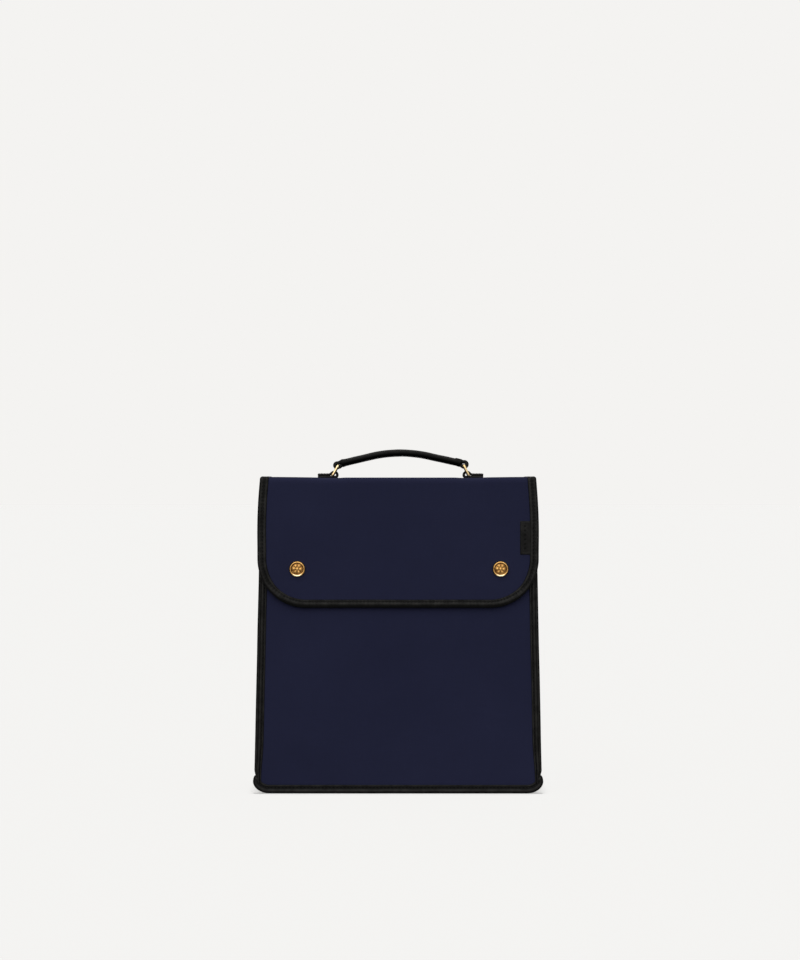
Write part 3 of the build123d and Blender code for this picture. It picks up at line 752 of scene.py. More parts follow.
def body_panel(name, slot, node, side, w_face, inset, low, amount, seed):
    """A front or back cloth: its outer face at w_face, between its seams."""
    def place(i, j):
        z = low + (CLOTH_TOP - low) * i
        return (2 * j - 1) * body_edge(z, inset), z

    def at(i, j, w):
        x, z = place(i, j)
        out = bow(x, z, body_edge(z, BINDING), 9.5 * MM, MOUTH_Z - 8 * MM, amount, seed)
        return x, side * (half_depth(z) + w_face + w + out * (1 - at_snap(x, z))), z

    lay(name, slot, [node], 88, 76, at, lambda i, j: (*place(i, j), 0), BODY,
        (2 * body_edge(low + 20 * MM, inset), (CLOTH_TOP - low) / math.cos(TILT)), "stretched")


body_panel("canvas_front", "canvas", "front_panel", -1, 0.0, EDGE_IN, EDGE_IN, 0.7 * MM, 1.0)
body_panel("canvas_back", "canvas", "back_panel", 1, 0.0, EDGE_IN, EDGE_IN, 1.2 * MM, 2.0)
body_panel("twill_front", "lining", "lining_front", -1, -2.25 * MM, WALL, LINING_LOW, -0.6 * MM, 3.0)


def gusset_section(z):
    """A gusset's section: in from the front seam, across the depth, and out to the back seam."""
    r = 1.6 * MM
    y = half_depth(z) - 1.8 * MM
    return Path([(EDGE_IN, -y), *arc(WALL_IN - r, -y + r, r, -90, 0, 6),
                 *arc(WALL_IN - r, y - r, r, 0, 90, 6), (EDGE_IN, y)])


BODY_LINE = body_path(0.0, CORNER_R)


def gusset_sag(z, y):
    """How far a gusset pulls in between its seams."""
    up = smooth((z - 24 * MM) / (90 * MM)) * smooth((MOUTH_Z - 9 * MM - z) / (70 * MM))
    across = max(0.0, 1 - (y / (half_depth(z) - 3 * MM)) ** 2)
    return up * across * (2.6 * MM + ripple(y, z, 60 * MM, 0.7 * MM, 7.0))


def height_at(z, line=BODY_LINE):
    """Distance along an outline from its start, down its left side, to a height."""
    half = len(line.points) // 2
    return float(np.interp(-z, -line.points[:half, 1], line.distance[:half]))


def gusset(name, s0, s1, node):
    """Cloth along the outline from s0 to s1, between the front and the back seam."""
    def at(i, j, w):
        s = s0 + (s1 - s0) * i
        _, z = BODY_LINE.at(s)
        section = gusset_section(z)
        inset, y = section.at(j * section.length, -w - CANVAS / 2)
        x, low = BODY_LINE.at(s, inset + gusset_sag(z, y))
        return x, y, low

    def flat(i, j):
        s = s0 + (s1 - s0) * i
        return ((j - 0.5) * gusset_section(BODY_LINE.at(s)[1]).length, s, 0)

    _, z = BODY_LINE.at((s0 + s1) / 2)
    lay(name, "canvas", [node], max(12, round((s1 - s0) / (4 * MM))), 44, at, flat, BODY,
        (gusset_section(max(z, 20 * MM)).length, s1 - s0), "stretched")


BASE_LEFT, SIDE_TOP, OUTLINE_END = height_at(BASE_SEAM_Z), height_at(CLOTH_TOP), BODY_LINE.length
gusset("canvas_side_left", SIDE_TOP, BASE_LEFT, "gusset_left")
gusset("canvas_side_right", OUTLINE_END - BASE_LEFT, OUTLINE_END - SIDE_TOP, "gusset_right")
gusset("canvas_base", BASE_LEFT, OUTLINE_END - BASE_LEFT, "base_panel")


def side_lining(name, side, node):
    """The twill inside a gusset, following its sag."""
    def at(i, j, w):
        z = LINING_LOW + (CLOTH_TOP - LINING_LOW) * i
        y = (2 * j - 1) * (half_depth(z) - 2.9 * MM)
        inset = 9.75 * MM - w + gusset_sag(z, y)
        return side * (half_width(z) - inset * SLANT), y, z

    lay(name, "lining", [node], 84, 26, at, lambda i, j: ((2 * j - 1) * half_depth(0.2), i * CLOTH_TOP, 0),
        BODY, (2 * half_depth(0.17) - 5.8 * MM, CLOTH_TOP - LINING_LOW), "stretched")


side_lining("twill_left", -1, "lining_left")
side_lining("twill_right", 1, "lining_right")


def back_lining():
    """The back twill, rolled over the mouth's rear edge to meet the flap's strip."""
    roll = Path([(2.25 * MM, LINING_LOW), *arc(0.85 * MM, CLOTH_TOP - 0.1 * MM, 1.45 * MM, 0, 90, 8),
                 (0.25 * MM, CLOTH_TOP + 1.35 * MM)])

    def at(i, j, w):
        _, z = roll.at(roll.length * i)
        inner, top = roll.at(roll.length * i, w)
        half = half_width(z) - WALL * SLANT
        x = (2 * j - 1) * half
        belly = bow(x, z, half, 20 * MM, MOUTH_Z - 20 * MM, 0.5 * MM, 4.0)
        return x, half_depth(z) - inner - belly, top

    lay("twill_back", "lining", ["lining_back"], 120, 70, at,
        lambda i, j: ((2 * j - 1) * half_width(0.2), i * roll.length, 0), BODY,
        (2 * (half_width(0.17) - WALL), roll.length), "stretched")


back_lining()


def floor_lining():
    """The twill over the base board."""
    _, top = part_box("lining_base")
    half_x, half_y = top.x - 0.2 * MM, top.y - 0.2 * MM

    def at(i, j, w):
        x, y = (2 * j - 1) * half_x, (2 * i - 1) * half_y
        lift = ripple(x, y, 70 * MM, 0.25 * MM, 11.0) * smooth((half_x - abs(x)) / (20 * MM))
        return x, y, top.z + w + lift + 0.3 * MM

    lay("twill_base", "lining", ["lining_base"], 24, 70, at,
        lambda i, j: ((2 * j - 1) * half_x, (2 * i - 1) * half_y, 0), BODY,
        (2 * half_x, 2 * half_y), "laid")


floor_lining()


# ---------------------------------------------------------------- body bindings
EAR_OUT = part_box("front_binding_bottom")[1].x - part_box("front_binding_right")[1].x
EAR_LINE = body_path(EAR_OUT, CORNER_R - 0.6 * MM, 1.36)
SIDE_RING = u_section(SIDE_SECTION, 2.4, 1.3)
BASE_RING = u_section(BASE_SECTION, 2.4, 1.3)
TUCK_Z = 9 * MM                  # the side bindings end under the bottom binding's ears


def ear_pinch(s):
    """The side bindings narrow where they go under the ears."""
    z = BODY_LINE.at(s)[1]
    outer = 1.5 * MM * (1 - smooth((z - 18 * MM) / (8 * MM)))
    return outer, 1.9 * MM * (1 - smooth((z - 14 * MM) / (46 * MM)))


for panel, place in (("front", front_place), ("back", back_place)):
    start, end = 0.2 * MM, height_at(TUCK_Z)
    spans = {"left": (start, end), "right": (OUTLINE_END - end, OUTLINE_END - start)}
    for side, (s0, s1) in spans.items():
        binding(f"edge_{panel}_{side}", BODY_LINE, s0, s1, SIDE_RING, place, BODY,
                f"{panel}_binding_{side}", seed=10.0 + s0 * 7, pinch=ear_pinch)
        edge_seam(f"stitches_{panel}_{side}", BODY_LINE, s0 + 4 * MM, s1 - 8 * MM, place, BODY,
                  lambda s: 6.8 * MM, 0.3 * MM)
    s0 = height_at(EAR_TOP, EAR_LINE)
    s1 = EAR_LINE.length - s0
    binding(f"edge_{panel}_base", EAR_LINE, s0, s1, BASE_RING, place, BODY, f"{panel}_binding_bottom",
            stitches=((6.2 * MM, 0.3 * MM),), cut=0.95, seed=21.0, shaded=1.5 * MM)
    edge_seam(f"stitches_{panel}_base", EAR_LINE, s0 + 12 * MM, s1 - 12 * MM, place, BODY,
              lambda s: 6.3 * MM, 0.4 * MM)


# The mouth's rim, a strip folded over an edge: (down from the top, out), in mm.
RIM_SECTION = [(0.0, -0.8), (0.06, -0.2), (0.35, 0.5), (0.9, 1.0), (1.6, 1.24), (2.6, 1.28), (3.8, 1.2),
               (4.6, 0.95), (5.2, 0.62), (5.8, 0.95), (6.6, 1.15), (7.4, 1.05), (7.9, 0.6), (8.0, 0.0)]


def rim(name, a, b, stack, place, node, seed):
    """The rim over a straight top edge from a to b, with its stitches."""
    line = Path([(a, MOUTH_Z), (b, MOUTH_Z)])
    binding(name, line, 0, line.length, u_section(RIM_SECTION, stack, 1.3, 8.0), place, BODY, node,
            stitches=((5.2 * MM, 0.3 * MM),), seed=seed)
    edge_seam(f"stitches_{name}", line, 2 * MM, line.length - 2 * MM, place, BODY,
              lambda s: 5.2 * MM, 0.55 * MM)


def side_place(side):
    """A place on the outside of a gusset's top edge."""
    out = half_width(MOUTH_Z) - 8.6 * MM
    return lambda y, z, w: (side * (out + w + (MOUTH_Z - z) * TAPER), y, z)


RIM_HALF = half_width(MOUTH_Z) - BINDING - 0.2 * MM
rim("rim_front", RIM_HALF, -RIM_HALF, 2.8, front_place, "mouth_binding_front", 31.0)
for side, sign in (("left", -1), ("right", 1)):
    low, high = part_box(f"mouth_binding_{side}")
    rim(f"rim_{side}", high.y, low.y, 1.8, side_place(sign), f"mouth_binding_{side}", 33.0 + sign)


# ---------------------------------------------------------------- flap cloth
def flap_bow(x, s):
    """How far the flap bows off the bag, flat at its edges, folds and snaps."""
    half = flap_width(min(s, FRONT_END)) - BINDING
    up = smooth((s - BINDING) / (35 * MM)) * smooth((FRONT_END - 8 * MM - s) / (35 * MM))
    across = smooth((half - abs(x)) / (40 * MM))
    away = min(math.hypot(x - snap_x, FLAP_LOW + s - SNAP_Z) for snap_x in SNAP_X)
    waves = ripple(x, s * 2.0, 95 * MM, 0.5 * MM, 41.0) + ripple(x, s, 30 * MM, 0.12 * MM, 43.0)
    return across * up * smooth((away - 9 * MM) / (30 * MM)) * (0.55 * MM + waves)


def flap_edge(s, inset):
    """Half width of the flap's cloth, rounded at the lower corners."""
    r = FLAP_CORNER_R - inset
    half = flap_width(min(s, REAR_START))
    if s < FLAP_CORNER_R:
        short = r - math.sqrt(max(0.0, r**2 - (FLAP_CORNER_R - s) ** 2))
        return FLAP_HALF - inset - short
    return half - inset


def rear_edge(s, inset):
    """Half width of the flap's cloth towards the back, narrower below the binding's end."""
    strip = half_width(MOUTH_Z - max(0.0, s - REAR_START)) - BINDING - 0.15 * MM
    step = smooth((s - REAR_START + 2.2 * MM) / (2.0 * MM))
    return (1 - step) * (flap_width(s) - inset) + step * strip


# A fold: the two bodies that it joins, and where it starts and ends.
TO_FRONT = ("flap_top", "flap_front", (0, FRONT_FOLD.y + FOLD_GAP, FOLD_Z),
            (0, FRONT_FOLD.y + FOLD_GAP * 0.06, FOLD_Z - FOLD_GAP))
TO_REAR = (BODY, "flap_top", (0, REAR_FOLD.y, FOLD_Z - FOLD_GAP), (0, REAR_FOLD.y - FOLD_GAP, FOLD_Z))
FLAP_IN = 1.5 * MM
FACES = {"canvas": (0.9 * MM, 1.3 * MM, 0.6 * MM), "lining": (-0.35 * MM, -0.72 * MM, -0.1 * MM)}


def flap_cloth(name, slot, nodes, s0, s1, edge, fold):
    """A half of the flap's canvas or lining, which FACES puts over the flap's middle surface."""
    def at(i, j, w):
        s = s0 + (s1 - s0) * i
        x = (2 * j - 1) * edge(s, FLAP_IN)
        height = stacked(s, *FACES[slot]) + w + flap_bow(x, s)
        if slot == "canvas":
            bound = smooth((abs(x) - flap_width(s) + 10.2 * MM) / (1.4 * MM))
            height -= bound * stacked(s, 0.0, 0.85 * MM, 0.0)
        return flap_point(x, s, height)

    def flat(i, j):
        s = s0 + (s1 - s0) * i
        return ((2 * j - 1) * edge(s, FLAP_IN), s, 0)

    length = s1 - s0
    width = 2 * max(edge(s0 + length * k / 40, FLAP_IN) for k in range(41))
    area = sum(2 * edge(s0 + length * (k + 0.5) / 200, FLAP_IN) for k in range(200)) * length / 200
    lay(name, slot, nodes, round(length / (3 * MM)), 76, at, flat, fold, (width, length), "folded",
        area=min(area, width * length))


flap_cloth("canvas_flap_front", "canvas", ["flap_front_panel"], FLAP_IN, TOP_MIDDLE, flap_edge, TO_FRONT)
flap_cloth("canvas_flap_rear", "canvas", ["flap_top_panel", "flap_rear_strip"], TOP_MIDDLE, STRIP_END,
           rear_edge, TO_REAR)
flap_cloth("twill_flap_front", "lining", ["flap_front_lining"], FLAP_IN, TOP_MIDDLE, flap_edge, TO_FRONT)
flap_cloth("twill_flap_rear", "lining", ["flap_top_lining"], TOP_MIDDLE, REAR_START - 0.3 * MM,
           rear_edge, TO_REAR)

# The flap's binding, from the middle of the top round the lower edge and back up.
FLAP_OUTLINE = flap_path()
FLAP_RING, FLAP_LOW_RING = ([(u, w + 1.05 * MM) for u, w in u_section(section, 2.1, 1.3)]
                            for section in (FLAP_SIDE_SECTION, FLAP_SECTION))
SIDE_ROWS = in_mm((5.3, 0.6), (3.75, 0.3))
LOW_ROWS = in_mm((6.7, 0.75), (3.15, 0.2))


def flap_place(x, s, n):
    return flap_point(x, s, n * stacked(s, 1.0, 0.8 if n > 0 else 1.12, 1.0))


def lower_share(s):
    """How much of the flap's lower binding section to use: all of it along the lower edge."""
    away = abs(s - FLAP_OUTLINE.length / 2)
    return 1 - smooth((away - 118 * MM) / (45 * MM))


def flap_pinch(s):
    """The flap's binding is a little wider down its sides, and pulled in above its corners."""
    away = abs(s - FLAP_OUTLINE.length / 2)
    near = math.exp(-(((away - 182 * MM) / (30 * MM)) ** 2))
    return 0.5 * MM * near, (-0.45 * MM - 0.6 * MM * near) * smooth((away - 140 * MM) / (30 * MM))


def flap_binding(part, s0, s1, fold, node, **lower):
    """A stretch of the flap's binding with its stitches."""
    binding(f"edge_flap_{part}", FLAP_OUTLINE, s0, s1, FLAP_RING, flap_place, fold, node,
            stitches=SIDE_ROWS, seed=51.0, pinch=flap_pinch, **lower)
    edge_seam(f"stitches_flap_{part}", FLAP_OUTLINE, s0, s1, flap_place, fold,
              lambda s: (5.3 + 1.4 * lower_share(s)) * MM, 1.2 * MM)


MID_LEFT = height_at(TOP_MIDDLE, FLAP_OUTLINE)
MID_RIGHT = FLAP_OUTLINE.length - MID_LEFT
flap_binding("front", MID_LEFT, MID_RIGHT, TO_FRONT, "flap_binding", other=FLAP_LOW_RING,
             other_rows=LOW_ROWS, share=lower_share)
flap_binding("rear_left", 0.2 * MM, MID_LEFT, TO_REAR, "flap_top_binding_left")
flap_binding("rear_right", MID_RIGHT, FLAP_OUTLINE.length - 0.2 * MM, TO_REAR, "flap_top_binding_right")

# Two rows of stitches hold the flap's strip on the back panel.
for row, z in (("lower", STRIP_LOW + 3 * MM), ("upper", STRIP_LOW + 11 * MM)):
    half = half_width(z) - BINDING - 3 * MM
    line = Path([(half, z), (-half, z)])
    edge_seam(f"stitches_strip_{row}", line, 0, line.length, back_place, BODY,
              lambda s: 0.0, REAR_W + 0.1 * MM)


# ---------------------------------------------------------------- label, snaps
def snap_relief(radius, angle):
    """A generic flower: a round middle and six petals."""
    r = radius / CAP_R
    petals = (0.5 + 0.5 * math.cos(6 * angle + 0.4)) * math.exp(-(((r - 0.42) / 0.16) ** 2))
    eye = math.exp(-((r / 0.14) ** 2))
    return 0.65 * MM * max(petals * (0.82 + 0.18 * math.cos(2 * angle + 1.0)), eye)


FRONT_NORMAL = Vector((0, -math.cos(TILT), math.sin(TILT)))
RIGHT = Vector((1, 0, 0))
FLAP_FACE_W = MID_W + 0.9 * MM
CAP_RIM_R = CAP_R + 0.35 * MM
CAP = [(0.02 * MM, 1.9 * MM)]
CAP += [(CAP_RIM_R * t, (1.9 - 0.9 * t * t) * MM) for t in np.linspace(0.04, 0.64, 30)]
CAP += [(CAP_RIM_R * t, h * MM) for t, h in ((0.67, 1.5), (0.70, 1.7), (0.73, 2.06), (0.76, 2.46),
                                             (0.79, 2.72), (0.825, 2.82), (0.865, 2.74), (0.90, 2.5),
                                             (0.935, 2.1), (0.965, 1.56), (0.985, 1.0), (1.0, 0.4),
                                             (0.99, 0.1), (0.94, -0.05))]
SOCKET = in_mm((3.0, 1.6), (3.0, 0.3), (3.3, 0.0), (4.2, 0.15), (5.2, 0.7), (5.5, 1.3), (5.4, 1.8),
               (4.6, 1.95), (3.2, 1.95))
STUD = in_mm((0.02, 2.5), (0.8, 2.44), (1.5, 2.2), (1.95, 1.75), (2.15, 1.25), (2.0, 0.9), (1.9, 0.75),
             (2.4, 0.62), (4.2, 0.55), (4.8, 0.42), (5.0, 0.2), (4.95, 0.02), (4.0, -0.05))


def on_front(x, w):
    """A point square to the front panel's face at a snap, at w."""
    return Vector(front_place(x, SNAP_Z, 0.0)) + FRONT_NORMAL * w


for side, x in zip(("left", "right"), SNAP_X):
    cap = lathe(f"cap_{side}", CAP, on_front(x, FLAP_FACE_W), RIGHT, FRONT_NORMAL, 144, snap_relief)
    place_on(cap, "flap_front", f"snap_cap_{side}")
    rings = []
    for a in around(48):
        across = RIGHT * math.cos(a) + FRONT_NORMAL.cross(RIGHT) * math.sin(a)
        rings.append([on_front(x, 1.25 * MM) + across * r + FRONT_NORMAL * h for r, h in SOCKET])
    socket = skin(f"socket_{side}", rings, "brass", closed=True, wear_and_painted_light=[0.5])
    place_on(socket, "flap_front", f"snap_socket_{side}")
    stud = lathe(f"stud_{side}", STUD, on_front(x, 0.0), RIGHT, FRONT_NORMAL, 48)
    place_on(stud, BODY, f"snap_stud_{side}")

low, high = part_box("label_tab")
LABEL_X0, LABEL_X1 = low.x - 0.7 * MM, high.x
LABEL_S0, LABEL_S1 = low.z - FLAP_LOW - 0.4 * MM, high.z - FLAP_LOW + 0.4 * MM


def label_mark(i, j):
    """A column of six pressed dots, from 0 to 1."""
    x, s = j * (LABEL_X1 - LABEL_X0), i * (LABEL_S1 - LABEL_S0)
    spots = [math.hypot(x - 5.4 * MM, s - (6.5 + 4.9 * k) * MM) for k in range(6)]
    return math.exp(-((min(spots) / (0.95 * MM)) ** 2))


def label_frame(i, j):
    """How near a place is to the label's rubbed border, from 0 to 1."""
    x, s = j * (LABEL_X1 - LABEL_X0), i * (LABEL_S1 - LABEL_S0)
    near = min(x, s, LABEL_S1 - LABEL_S0 - s)
    return math.exp(-(((near - 1.3 * MM) / (0.7 * MM)) ** 2))


def label_at(i, j, w):
    x = LABEL_X0 + (LABEL_X1 - LABEL_X0) * j
    s = LABEL_S0 + (LABEL_S1 - LABEL_S0) * i
    edge = min(smooth(j * 9), smooth(i * 30), smooth((1 - i) * 30))
    puff = 0.25 * MM + 0.9 * MM * edge + 0.15 * MM * label_frame(i, j) - 0.5 * MM * label_mark(i, j)
    return flap_point(x, s, 0.9 * MM + puff + ripple(x, s, 9 * MM, 0.1 * MM, 61.0) + w)


# The label is paler at its rubbed border and darker at its pressed dots; its right end, where it meets the
# flap's binding, is darkened as painted shade.
def label_wear_and_shade(i, j):
    binding_shade_factor = smooth(((1 - j) * (LABEL_X1 - LABEL_X0) - 0.6 * MM) / (1.4 * MM))
    return max(0.0, (0.62 + 0.2 * label_frame(i, j)) * binding_shade_factor - 0.9 * label_mark(i, j))


label = cloth_sheet("label", 100, 34, label_at, "leather", 1.0 * MM, rubbed=label_wear_and_shade)
place_on(label, "flap_front", "label_tab")


# ---------------------------------------------------------------- handle
GRIP_BEND_R, GRIP_BEND_X = 143 * MM, 34.6 * MM
GRIP_THICK = 7.8 * MM
GRIP_MID_Z = GRIP_HIGH.z - GRIP_THICK / 2
GRIP_SLOPE = math.asin(GRIP_BEND_X / GRIP_BEND_R)
GRIP_ENDS = (66.3 * MM, 67.6 * MM)
GRIP_LIFTS = (0.4 * MM, 1.0 * MM)
WIRE_R = 1.3 * MM
RING_LOW, RING_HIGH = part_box("ring_right")
LOWER_BAR = Vector((RING_HIGH.x - WIRE_R - HANDLE_MID, 0, RING_LOW.z + WIRE_R))
UPPER_BAR = Vector((RING_LOW.x + WIRE_R - HANDLE_MID, 0, RING_HIGH.z - WIRE_R))
WIRE_LOW = LOWER_BAR + Vector((0.9, 0, -3.1)) * MM      # the wire lies low in the tab's fold
WIRE_HIGH = {"left": UPPER_BAR + Vector((0.3, 0, -1.4)) * MM,      # and low in the handle's loop
             "right": UPPER_BAR + Vector((1.2, 0, -1.0)) * MM}


def grip_line():
    """The handle's centre line in the XZ plane, from the left end to the right."""
    bend = arc(0, GRIP_MID_Z - GRIP_BEND_R, GRIP_BEND_R, 90 + math.degrees(GRIP_SLOPE),
               90 - math.degrees(GRIP_SLOPE), 40)
    x, z = bend[-1]
    left, right = ((reach_x, z - (reach_x - x) * math.tan(GRIP_SLOPE) + lift)
                   for reach_x, lift in zip(GRIP_ENDS, GRIP_LIFTS))
    return Path([(-left[0], left[1]), *bend, right])


GRIP = grip_line()


def grip_ring(s, half_y, half_z):
    """The handle's section: a flattened round with a pinched seam along its underside."""
    ring = []
    for a in around(48):
        c, n = math.cos(a), math.sin(a)
        y = half_y * math.copysign(abs(c) ** 0.86, c)
        t = half_z * math.copysign(abs(n) ** 0.92, n)
        if n < 0:
            t -= 0.35 * MM * math.exp(-((y / (1.1 * MM)) ** 2))
        crease = ripple(s, a * 0.01, 11 * MM, 0.13 * MM, 71.0)
        crease += ripple(s, a * 0.02, 3.5 * MM, 0.05 * MM, 73.0)
        x, z = GRIP.at(s, t + crease)
        ring.append((HANDLE_MID + x, y, z))
    return ring


# A pale band of painted highlight runs along the upper front of the sleeve.
GRIP_HIGHLIGHT = [0.75 * math.exp(-(((math.degrees(a) - 143) / 17) ** 2)) for a in around(48)]
GRIP_HALF_Y = (GRIP_HIGH.y - GRIP_LOW.y) / 2
GRIP_STEPS = round(GRIP.length / (0.8 * MM))
rings = []
for k in range(GRIP_STEPS + 1):
    s = GRIP.length * k / GRIP_STEPS
    near = min(s, GRIP.length - s)
    flare = 0.6 * MM * (1 - smooth(near / (5.5 * MM))) - 0.7 * MM * (1 - smooth(near / (1.4 * MM)))
    rings.append(grip_ring(s, GRIP_HALF_Y + flare, GRIP_THICK / 2 + flare))
place_on(skin("grip", rings, "leather", wear_and_painted_light=GRIP_HIGHLIGHT), "handle", "handle_grip")

LOOP_THICK = 4.0 * MM
STRAP_WIDTH = 14 * MM
for side, sign, loop_r, off, up in (("left", -1, 4.5 * MM, -1.0 * MM, 0.6 * MM),
                                   ("right", 1, 4.9 * MM, -0.4 * MM, 1.1 * MM)):
    bar = Vector((HANDLE_MID + sign * WIRE_HIGH[side].x, 0, WIRE_HIGH[side].z))

    def in_handle(a, b, c, sign=sign, bar=bar):
        """Inwards along the handle's end from the bar, up from its line, and across."""
        x = bar.x - sign * (a * math.cos(GRIP_SLOPE) - b * math.sin(GRIP_SLOPE))
        return x, c, bar.z + a * math.sin(GRIP_SLOPE) + b * math.cos(GRIP_SLOPE)

    rest = 1.1 * MM + up           # the loop leaves the sleeve above the wire's line
    half = LOOP_THICK / 2 * 0.9
    turn = [(11 * MM, rest + half), (4.4 * MM, rest + half), (2.2 * MM + off / 2, up + half * 1.25),
            *arc(off, up, loop_r - LOOP_THICK / 2, 64, 296, 24),
            (2.2 * MM + off / 2, up - half * 1.25), (4.4 * MM, rest - half), (11 * MM, rest - half)]
    loop = strap(f"loop_{side}", turn, LOOP_THICK, STRAP_WIDTH, in_handle)
    place_on(loop, "handle", f"handle_loop_{side}")


# ---------------------------------------------------------------- rings and tabs
RING_HALF = RING_HIGH.y - WIRE_R
TAB_THICK = 2.75 * MM
TAB_BASE = FOLD_Z + 0.93 * MM - top_sag(LOWER_BAR.x)      # the tabs press into the canvas
for side, sign in (("left", -1), ("right", 1)):
    lower = Vector((HANDLE_MID + sign * WIRE_LOW.x, 0, WIRE_LOW.z))
    upper = Vector((HANDLE_MID + sign * WIRE_HIGH[side].x, 0, WIRE_HIGH[side].z))
    rise = (upper - lower) / 2
    wire = [(lower + upper) / 2 + Vector((0, a, 0)) + rise.normalized() * b
            for a, b in rounded_loop(RING_HALF, rise.length, 2.0 * MM, 8)]
    ring = ring_of_wire(f"link_{side}", wire, WIRE_R + 0.08 * MM, 24,
                        rise.cross(Vector((0, 1, 0))).normalized())
    place_on(ring, f"ring_{side}", f"ring_{side}")

    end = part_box(f"handle_tab_{side}")
    outer = abs((end[0].x if sign < 0 else end[1].x) - HANDLE_MID) + 0.4 * MM
    mid_r = 4.8 * MM - TAB_THICK / 2
    over = Vector((WIRE_LOW.x - 2.2 * MM, 0, WIRE_LOW.z + 1.6 * MM))
    upper_mid = TAB_BASE + 5.25 * MM - TAB_THICK / 2
    under = TAB_BASE + TAB_THICK / 2
    dip = math.degrees(math.asin((over.z - under) / mid_r))
    line = [(outer, under), (over.x + 2.5 * MM, under), *arc(over.x, over.z, mid_r, 180 + dip, 52, 24),
            (over.x + 4.2 * MM, upper_mid + 0.6 * MM), (over.x + 5.6 * MM, upper_mid + 0.12 * MM),
            (over.x + 7.5 * MM, upper_mid), (outer, upper_mid)]
    tab = strap(f"tab_{side}", line, TAB_THICK, STRAP_WIDTH,
                lambda a, b, c, sign=sign: (HANDLE_MID + sign * a, c, b))
    place_on(tab, "flap_top", f"handle_tab_{side}")
    top = TAB_BASE + 5.1 * MM
    places = [((HANDLE_MID + sign * (over.x + (7.5 + 3.3 * k) * MM), y, top), (1, 0, 0), UP)
              for y in (-5.2 * MM, 5.2 * MM) for k in range(3)]
    places += [((HANDLE_MID + sign * (outer - 1.7 * MM), (-3.4 + 3.4 * k) * MM, top), (0, 1, 0), UP)
               for k in range(3)]
    seam(f"stitches_tab_{side}", places, "flap_top", 2.4 * MM, 0.35 * MM)


# ---------------------------------------------------------------- strap rings on the gussets
STRAP_R = 1.6 * MM
DRING_CORNER = 3.5 * MM
RIVET_Z = 325 * MM
RIVET = in_mm((0.02, 1.4), (1.2, 1.34), (2.3, 1.15), (3.1, 0.85), (3.7, 0.5), (4.0, 0.1), (3.9, -0.1))


def wall(z, out):
    """Distance from the bag's middle to a place that far out from a gusset's seam."""
    return half_width(z) - BINDING * SLANT + out


for side, sign in (("left", -1), ("right", 1)):
    low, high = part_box(f"strap_ring_{side}")
    bar = Vector((sign * (max(abs(low.x), abs(high.x)) - STRAP_R), 0, high.z - STRAP_R))
    half = high.y - STRAP_R
    loop = [*arc(half - DRING_CORNER, bar.z - DRING_CORNER, DRING_CORNER, 0, 90, 6),
            *arc(-half + DRING_CORNER, bar.z - DRING_CORNER, DRING_CORNER, 90, 180, 6),
            *arc(0, low.z + STRAP_R + half, half, 180, 360, 40)]
    ring_line, _ = resample(loop + loop[:1], 1.0 * MM)
    wire = [Vector((bar.x, y, z)) for y, z in ring_line[:-1]]
    ring = ring_of_wire(f"dring_{side}", wire, STRAP_R, 20, RIGHT)
    place_on(ring, f"strap_ring_{side}", f"strap_ring_{side}")

    top_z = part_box(f"strap_chape_{side}")[1].z
    bend_z = bar.z + 6 * MM
    mid_r = STRAP_R + 0.75 * MM
    line = [(wall(top_z, 0.75 * MM), top_z), (wall(bend_z, 0.75 * MM), bend_z),
            *arc(abs(bar.x), bar.z, mid_r, 160, 380, 22),
            (abs(bar.x) + mid_r - 0.4 * MM, bar.z + 2.6 * MM), (wall(bar.z, 2.1 * MM), bend_z),
            (wall(top_z, 1.95 * MM), top_z)]
    chape = strap(f"chape_{side}", line, 1.2 * MM, 22 * MM, lambda a, b, c, sign=sign: (sign * a, c, b))
    place_on(chape, BODY, f"strap_chape_{side}")
    out = Vector((sign, 0, TAPER)).normalized()
    spot = Vector((sign * wall(RIVET_Z, 2.55 * MM), 0, RIVET_Z))
    rivet = lathe(f"rivet_{side}", RIVET, spot, (0, 1, 0), out, 40)
    place_on(rivet, BODY, f"chape_rivet_{side}")
    places = []
    for y in (-8.5 * MM, 8.5 * MM):
        for k in range(4):
            z = bar.z + (6.5 + 3 * k) * MM
            places.append(((sign * wall(z, 2.6 * MM), y, z), (0, 0, 1), out))
    z = top_z - 2 * MM
    places += [((sign * wall(z, 2.6 * MM), (-6.8 + 3.4 * k) * MM, z), (0, 1, 0), out) for k in range(5)]
    seam(f"stitches_chape_{side}", places, BODY, 2.3 * MM, 0.35 * MM)


# ---------------------------------------------------------------- pocket
low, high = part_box("inner_pocket")
POCKET_HALF, POCKET_LOW, POCKET_TOP = high.x, low.z, high.z
POCKET_IN = 3.4 * MM             # from the back panel's outer face in to the lining
GAPE = 9 * MM


def pocket_gape(x, z):
    """How far the pocket hangs off the back lining."""
    across = max(0.0, 1 - abs(x / POCKET_HALF) ** 3.0)
    up = smooth((z - POCKET_LOW) / (POCKET_TOP - POCKET_LOW) * 0.85)
    return 0.4 * MM + across**0.7 * up * (GAPE + ripple(x, z, 40 * MM, 1.2 * MM, 81.0))


def pocket_flat(i, j):
    return ((2 * j - 1) * POCKET_HALF, POCKET_LOW + (POCKET_TOP - POCKET_LOW) * i, 0)


def pocket_at(i, j, w):
    x, z, _ = pocket_flat(i, j)
    return x, half_depth(z) - POCKET_IN - pocket_gape(x, z) - 2 * LINING - w, z


lay("pocket", "lining", ["inner_pocket"], 50, 60, pocket_at, pocket_flat, BODY,
    (2 * POCKET_HALF, POCKET_TOP - POCKET_LOW), "hung")

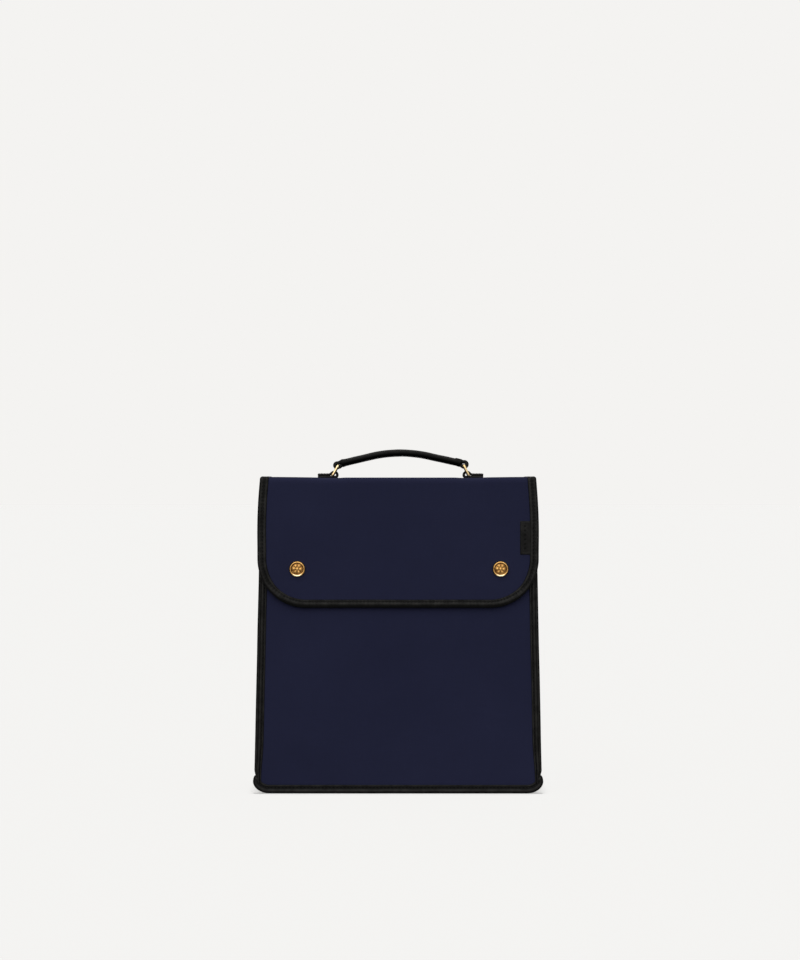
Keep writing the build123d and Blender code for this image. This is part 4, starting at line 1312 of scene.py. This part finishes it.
TAPE = in_mm((-7.0, 0.55), (-6.6, 0.95), (-3.0, 1.0), (0.0, 0.95), (0.7, 0.5), (0.85, 0.0), (0.7, -0.5),
             (0.0, -0.95), (-3.0, -1.0), (-6.6, -0.95), (-7.0, -0.55))
rings = []
for k in range(121):
    x = (2 * k / 120 - 1) * (POCKET_HALF - 0.5 * MM)
    y = half_depth(POCKET_TOP) - POCKET_IN - pocket_gape(x, POCKET_TOP) - 1.5 * LINING
    rings.append([(x, y + t, POCKET_TOP + v) for v, t in TAPE])
place_on(skin("pocket_trim", rings, "leather", wear_and_painted_light=[0.3]), BODY, "inner_pocket_binding")

# ---------------------------------------------------------------- CAD nodes that stay as they are
for node, finish in (("front_board", BOARD), ("back_board", BOARD), ("base_board", BOARD),
                     ("flap_top_board", BOARD), ("handle_core", CORD),
                     ("snap_post_left", METAL), ("snap_post_right", METAL)):
    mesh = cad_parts[node].data
    mesh.materials.clear()
    mesh.materials.append(finish)

# ---------------------------------------------------------------- stage, light and camera
BACKDROP = (0.905, 0.896, 0.880, 1)
bpy.ops.mesh.primitive_plane_add(size=60)
floor = bpy.context.object
floor.name = "floor"
floor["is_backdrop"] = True
floor.visible_diffuse = False
n = material("pale_floor")
grain = n.mix(n.noise(n.place(), 900.0), (0.0198, 0.0197, 0.0194, 1), (0.0202, 0.0201, 0.0198, 1))
floor.data.materials.append(n.surface(Base_Color=grain, Roughness=1.0, Specular_IOR_Level=0.0,
                                      Emission_Strength=0.42, Emission_Color=BACKDROP))

world = bpy.data.worlds.new("studio")
bpy.context.scene.world = world
n = Nodes(world)
n.tree.nodes.clear()
split = n.add("SeparateXYZ", n.add("TexCoord").outputs["Generated"])
height = n.add("Math", split.outputs[1], 0.45, split.outputs[2], operation="MULTIPLY_ADD").outputs[0]
light = n.add("Background", (1.0, 0.985, 0.96, 1), n.ramp(height, -0.35, 1.0, 0.12, 1.1))
seen = n.add("Background", BACKDROP)
mixed = n.add("MixShader", n.add("LightPath").outputs["Is Camera Ray"], light.outputs[0], seen.outputs[0])
n.add("OutputWorld", mixed.outputs[0])


def sun(name, energy, spread, towards):
    """A broad soft light shining in a direction."""
    data = bpy.data.lights.new(name, "SUN")
    data.energy = energy
    data.angle = math.radians(spread)
    lamp = bpy.data.objects.new(name, data)
    lamp.rotation_euler = Vector(towards).to_track_quat("-Z", "Y").to_euler()
    bpy.context.scene.collection.objects.link(lamp)
    return lamp


sun("key", 2.6, 75, (0.25, 0.75, -0.62))
sun("fill", 1.0, 90, (-0.6, 0.6, -0.35))
overhead = sun("overhead", 78.0, 5, (0.0, -0.006, -1))
only_floor = bpy.data.collections.new("lit_from_overhead")
only_floor.objects.link(floor)
overhead.light_linking.receiver_collection = only_floor

camera = bpy.data.cameras.new("camera")
camera.sensor_width = 36
camera.lens = 94.12
CAMERA_BACK = 2.75
EYE_X, EYE_Z = 0.0021, 0.3435
viewer = bpy.data.objects.new("camera", camera)
viewer.location = (EYE_X, -half_depth(0) - CAMERA_BACK, EYE_Z)
viewer.rotation_euler = (math.radians(90), 0, 0)
bpy.context.scene.collection.objects.link(viewer)
bpy.context.scene.camera = viewer
bpy.context.scene.view_settings.view_transform = "Standard"

boxes = {"cad": CAD_BOX, "visual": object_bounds()}
for key, (box_low, box_high) in boxes.items():
    json.dumps({key: [list(box_low), list(box_high)]})
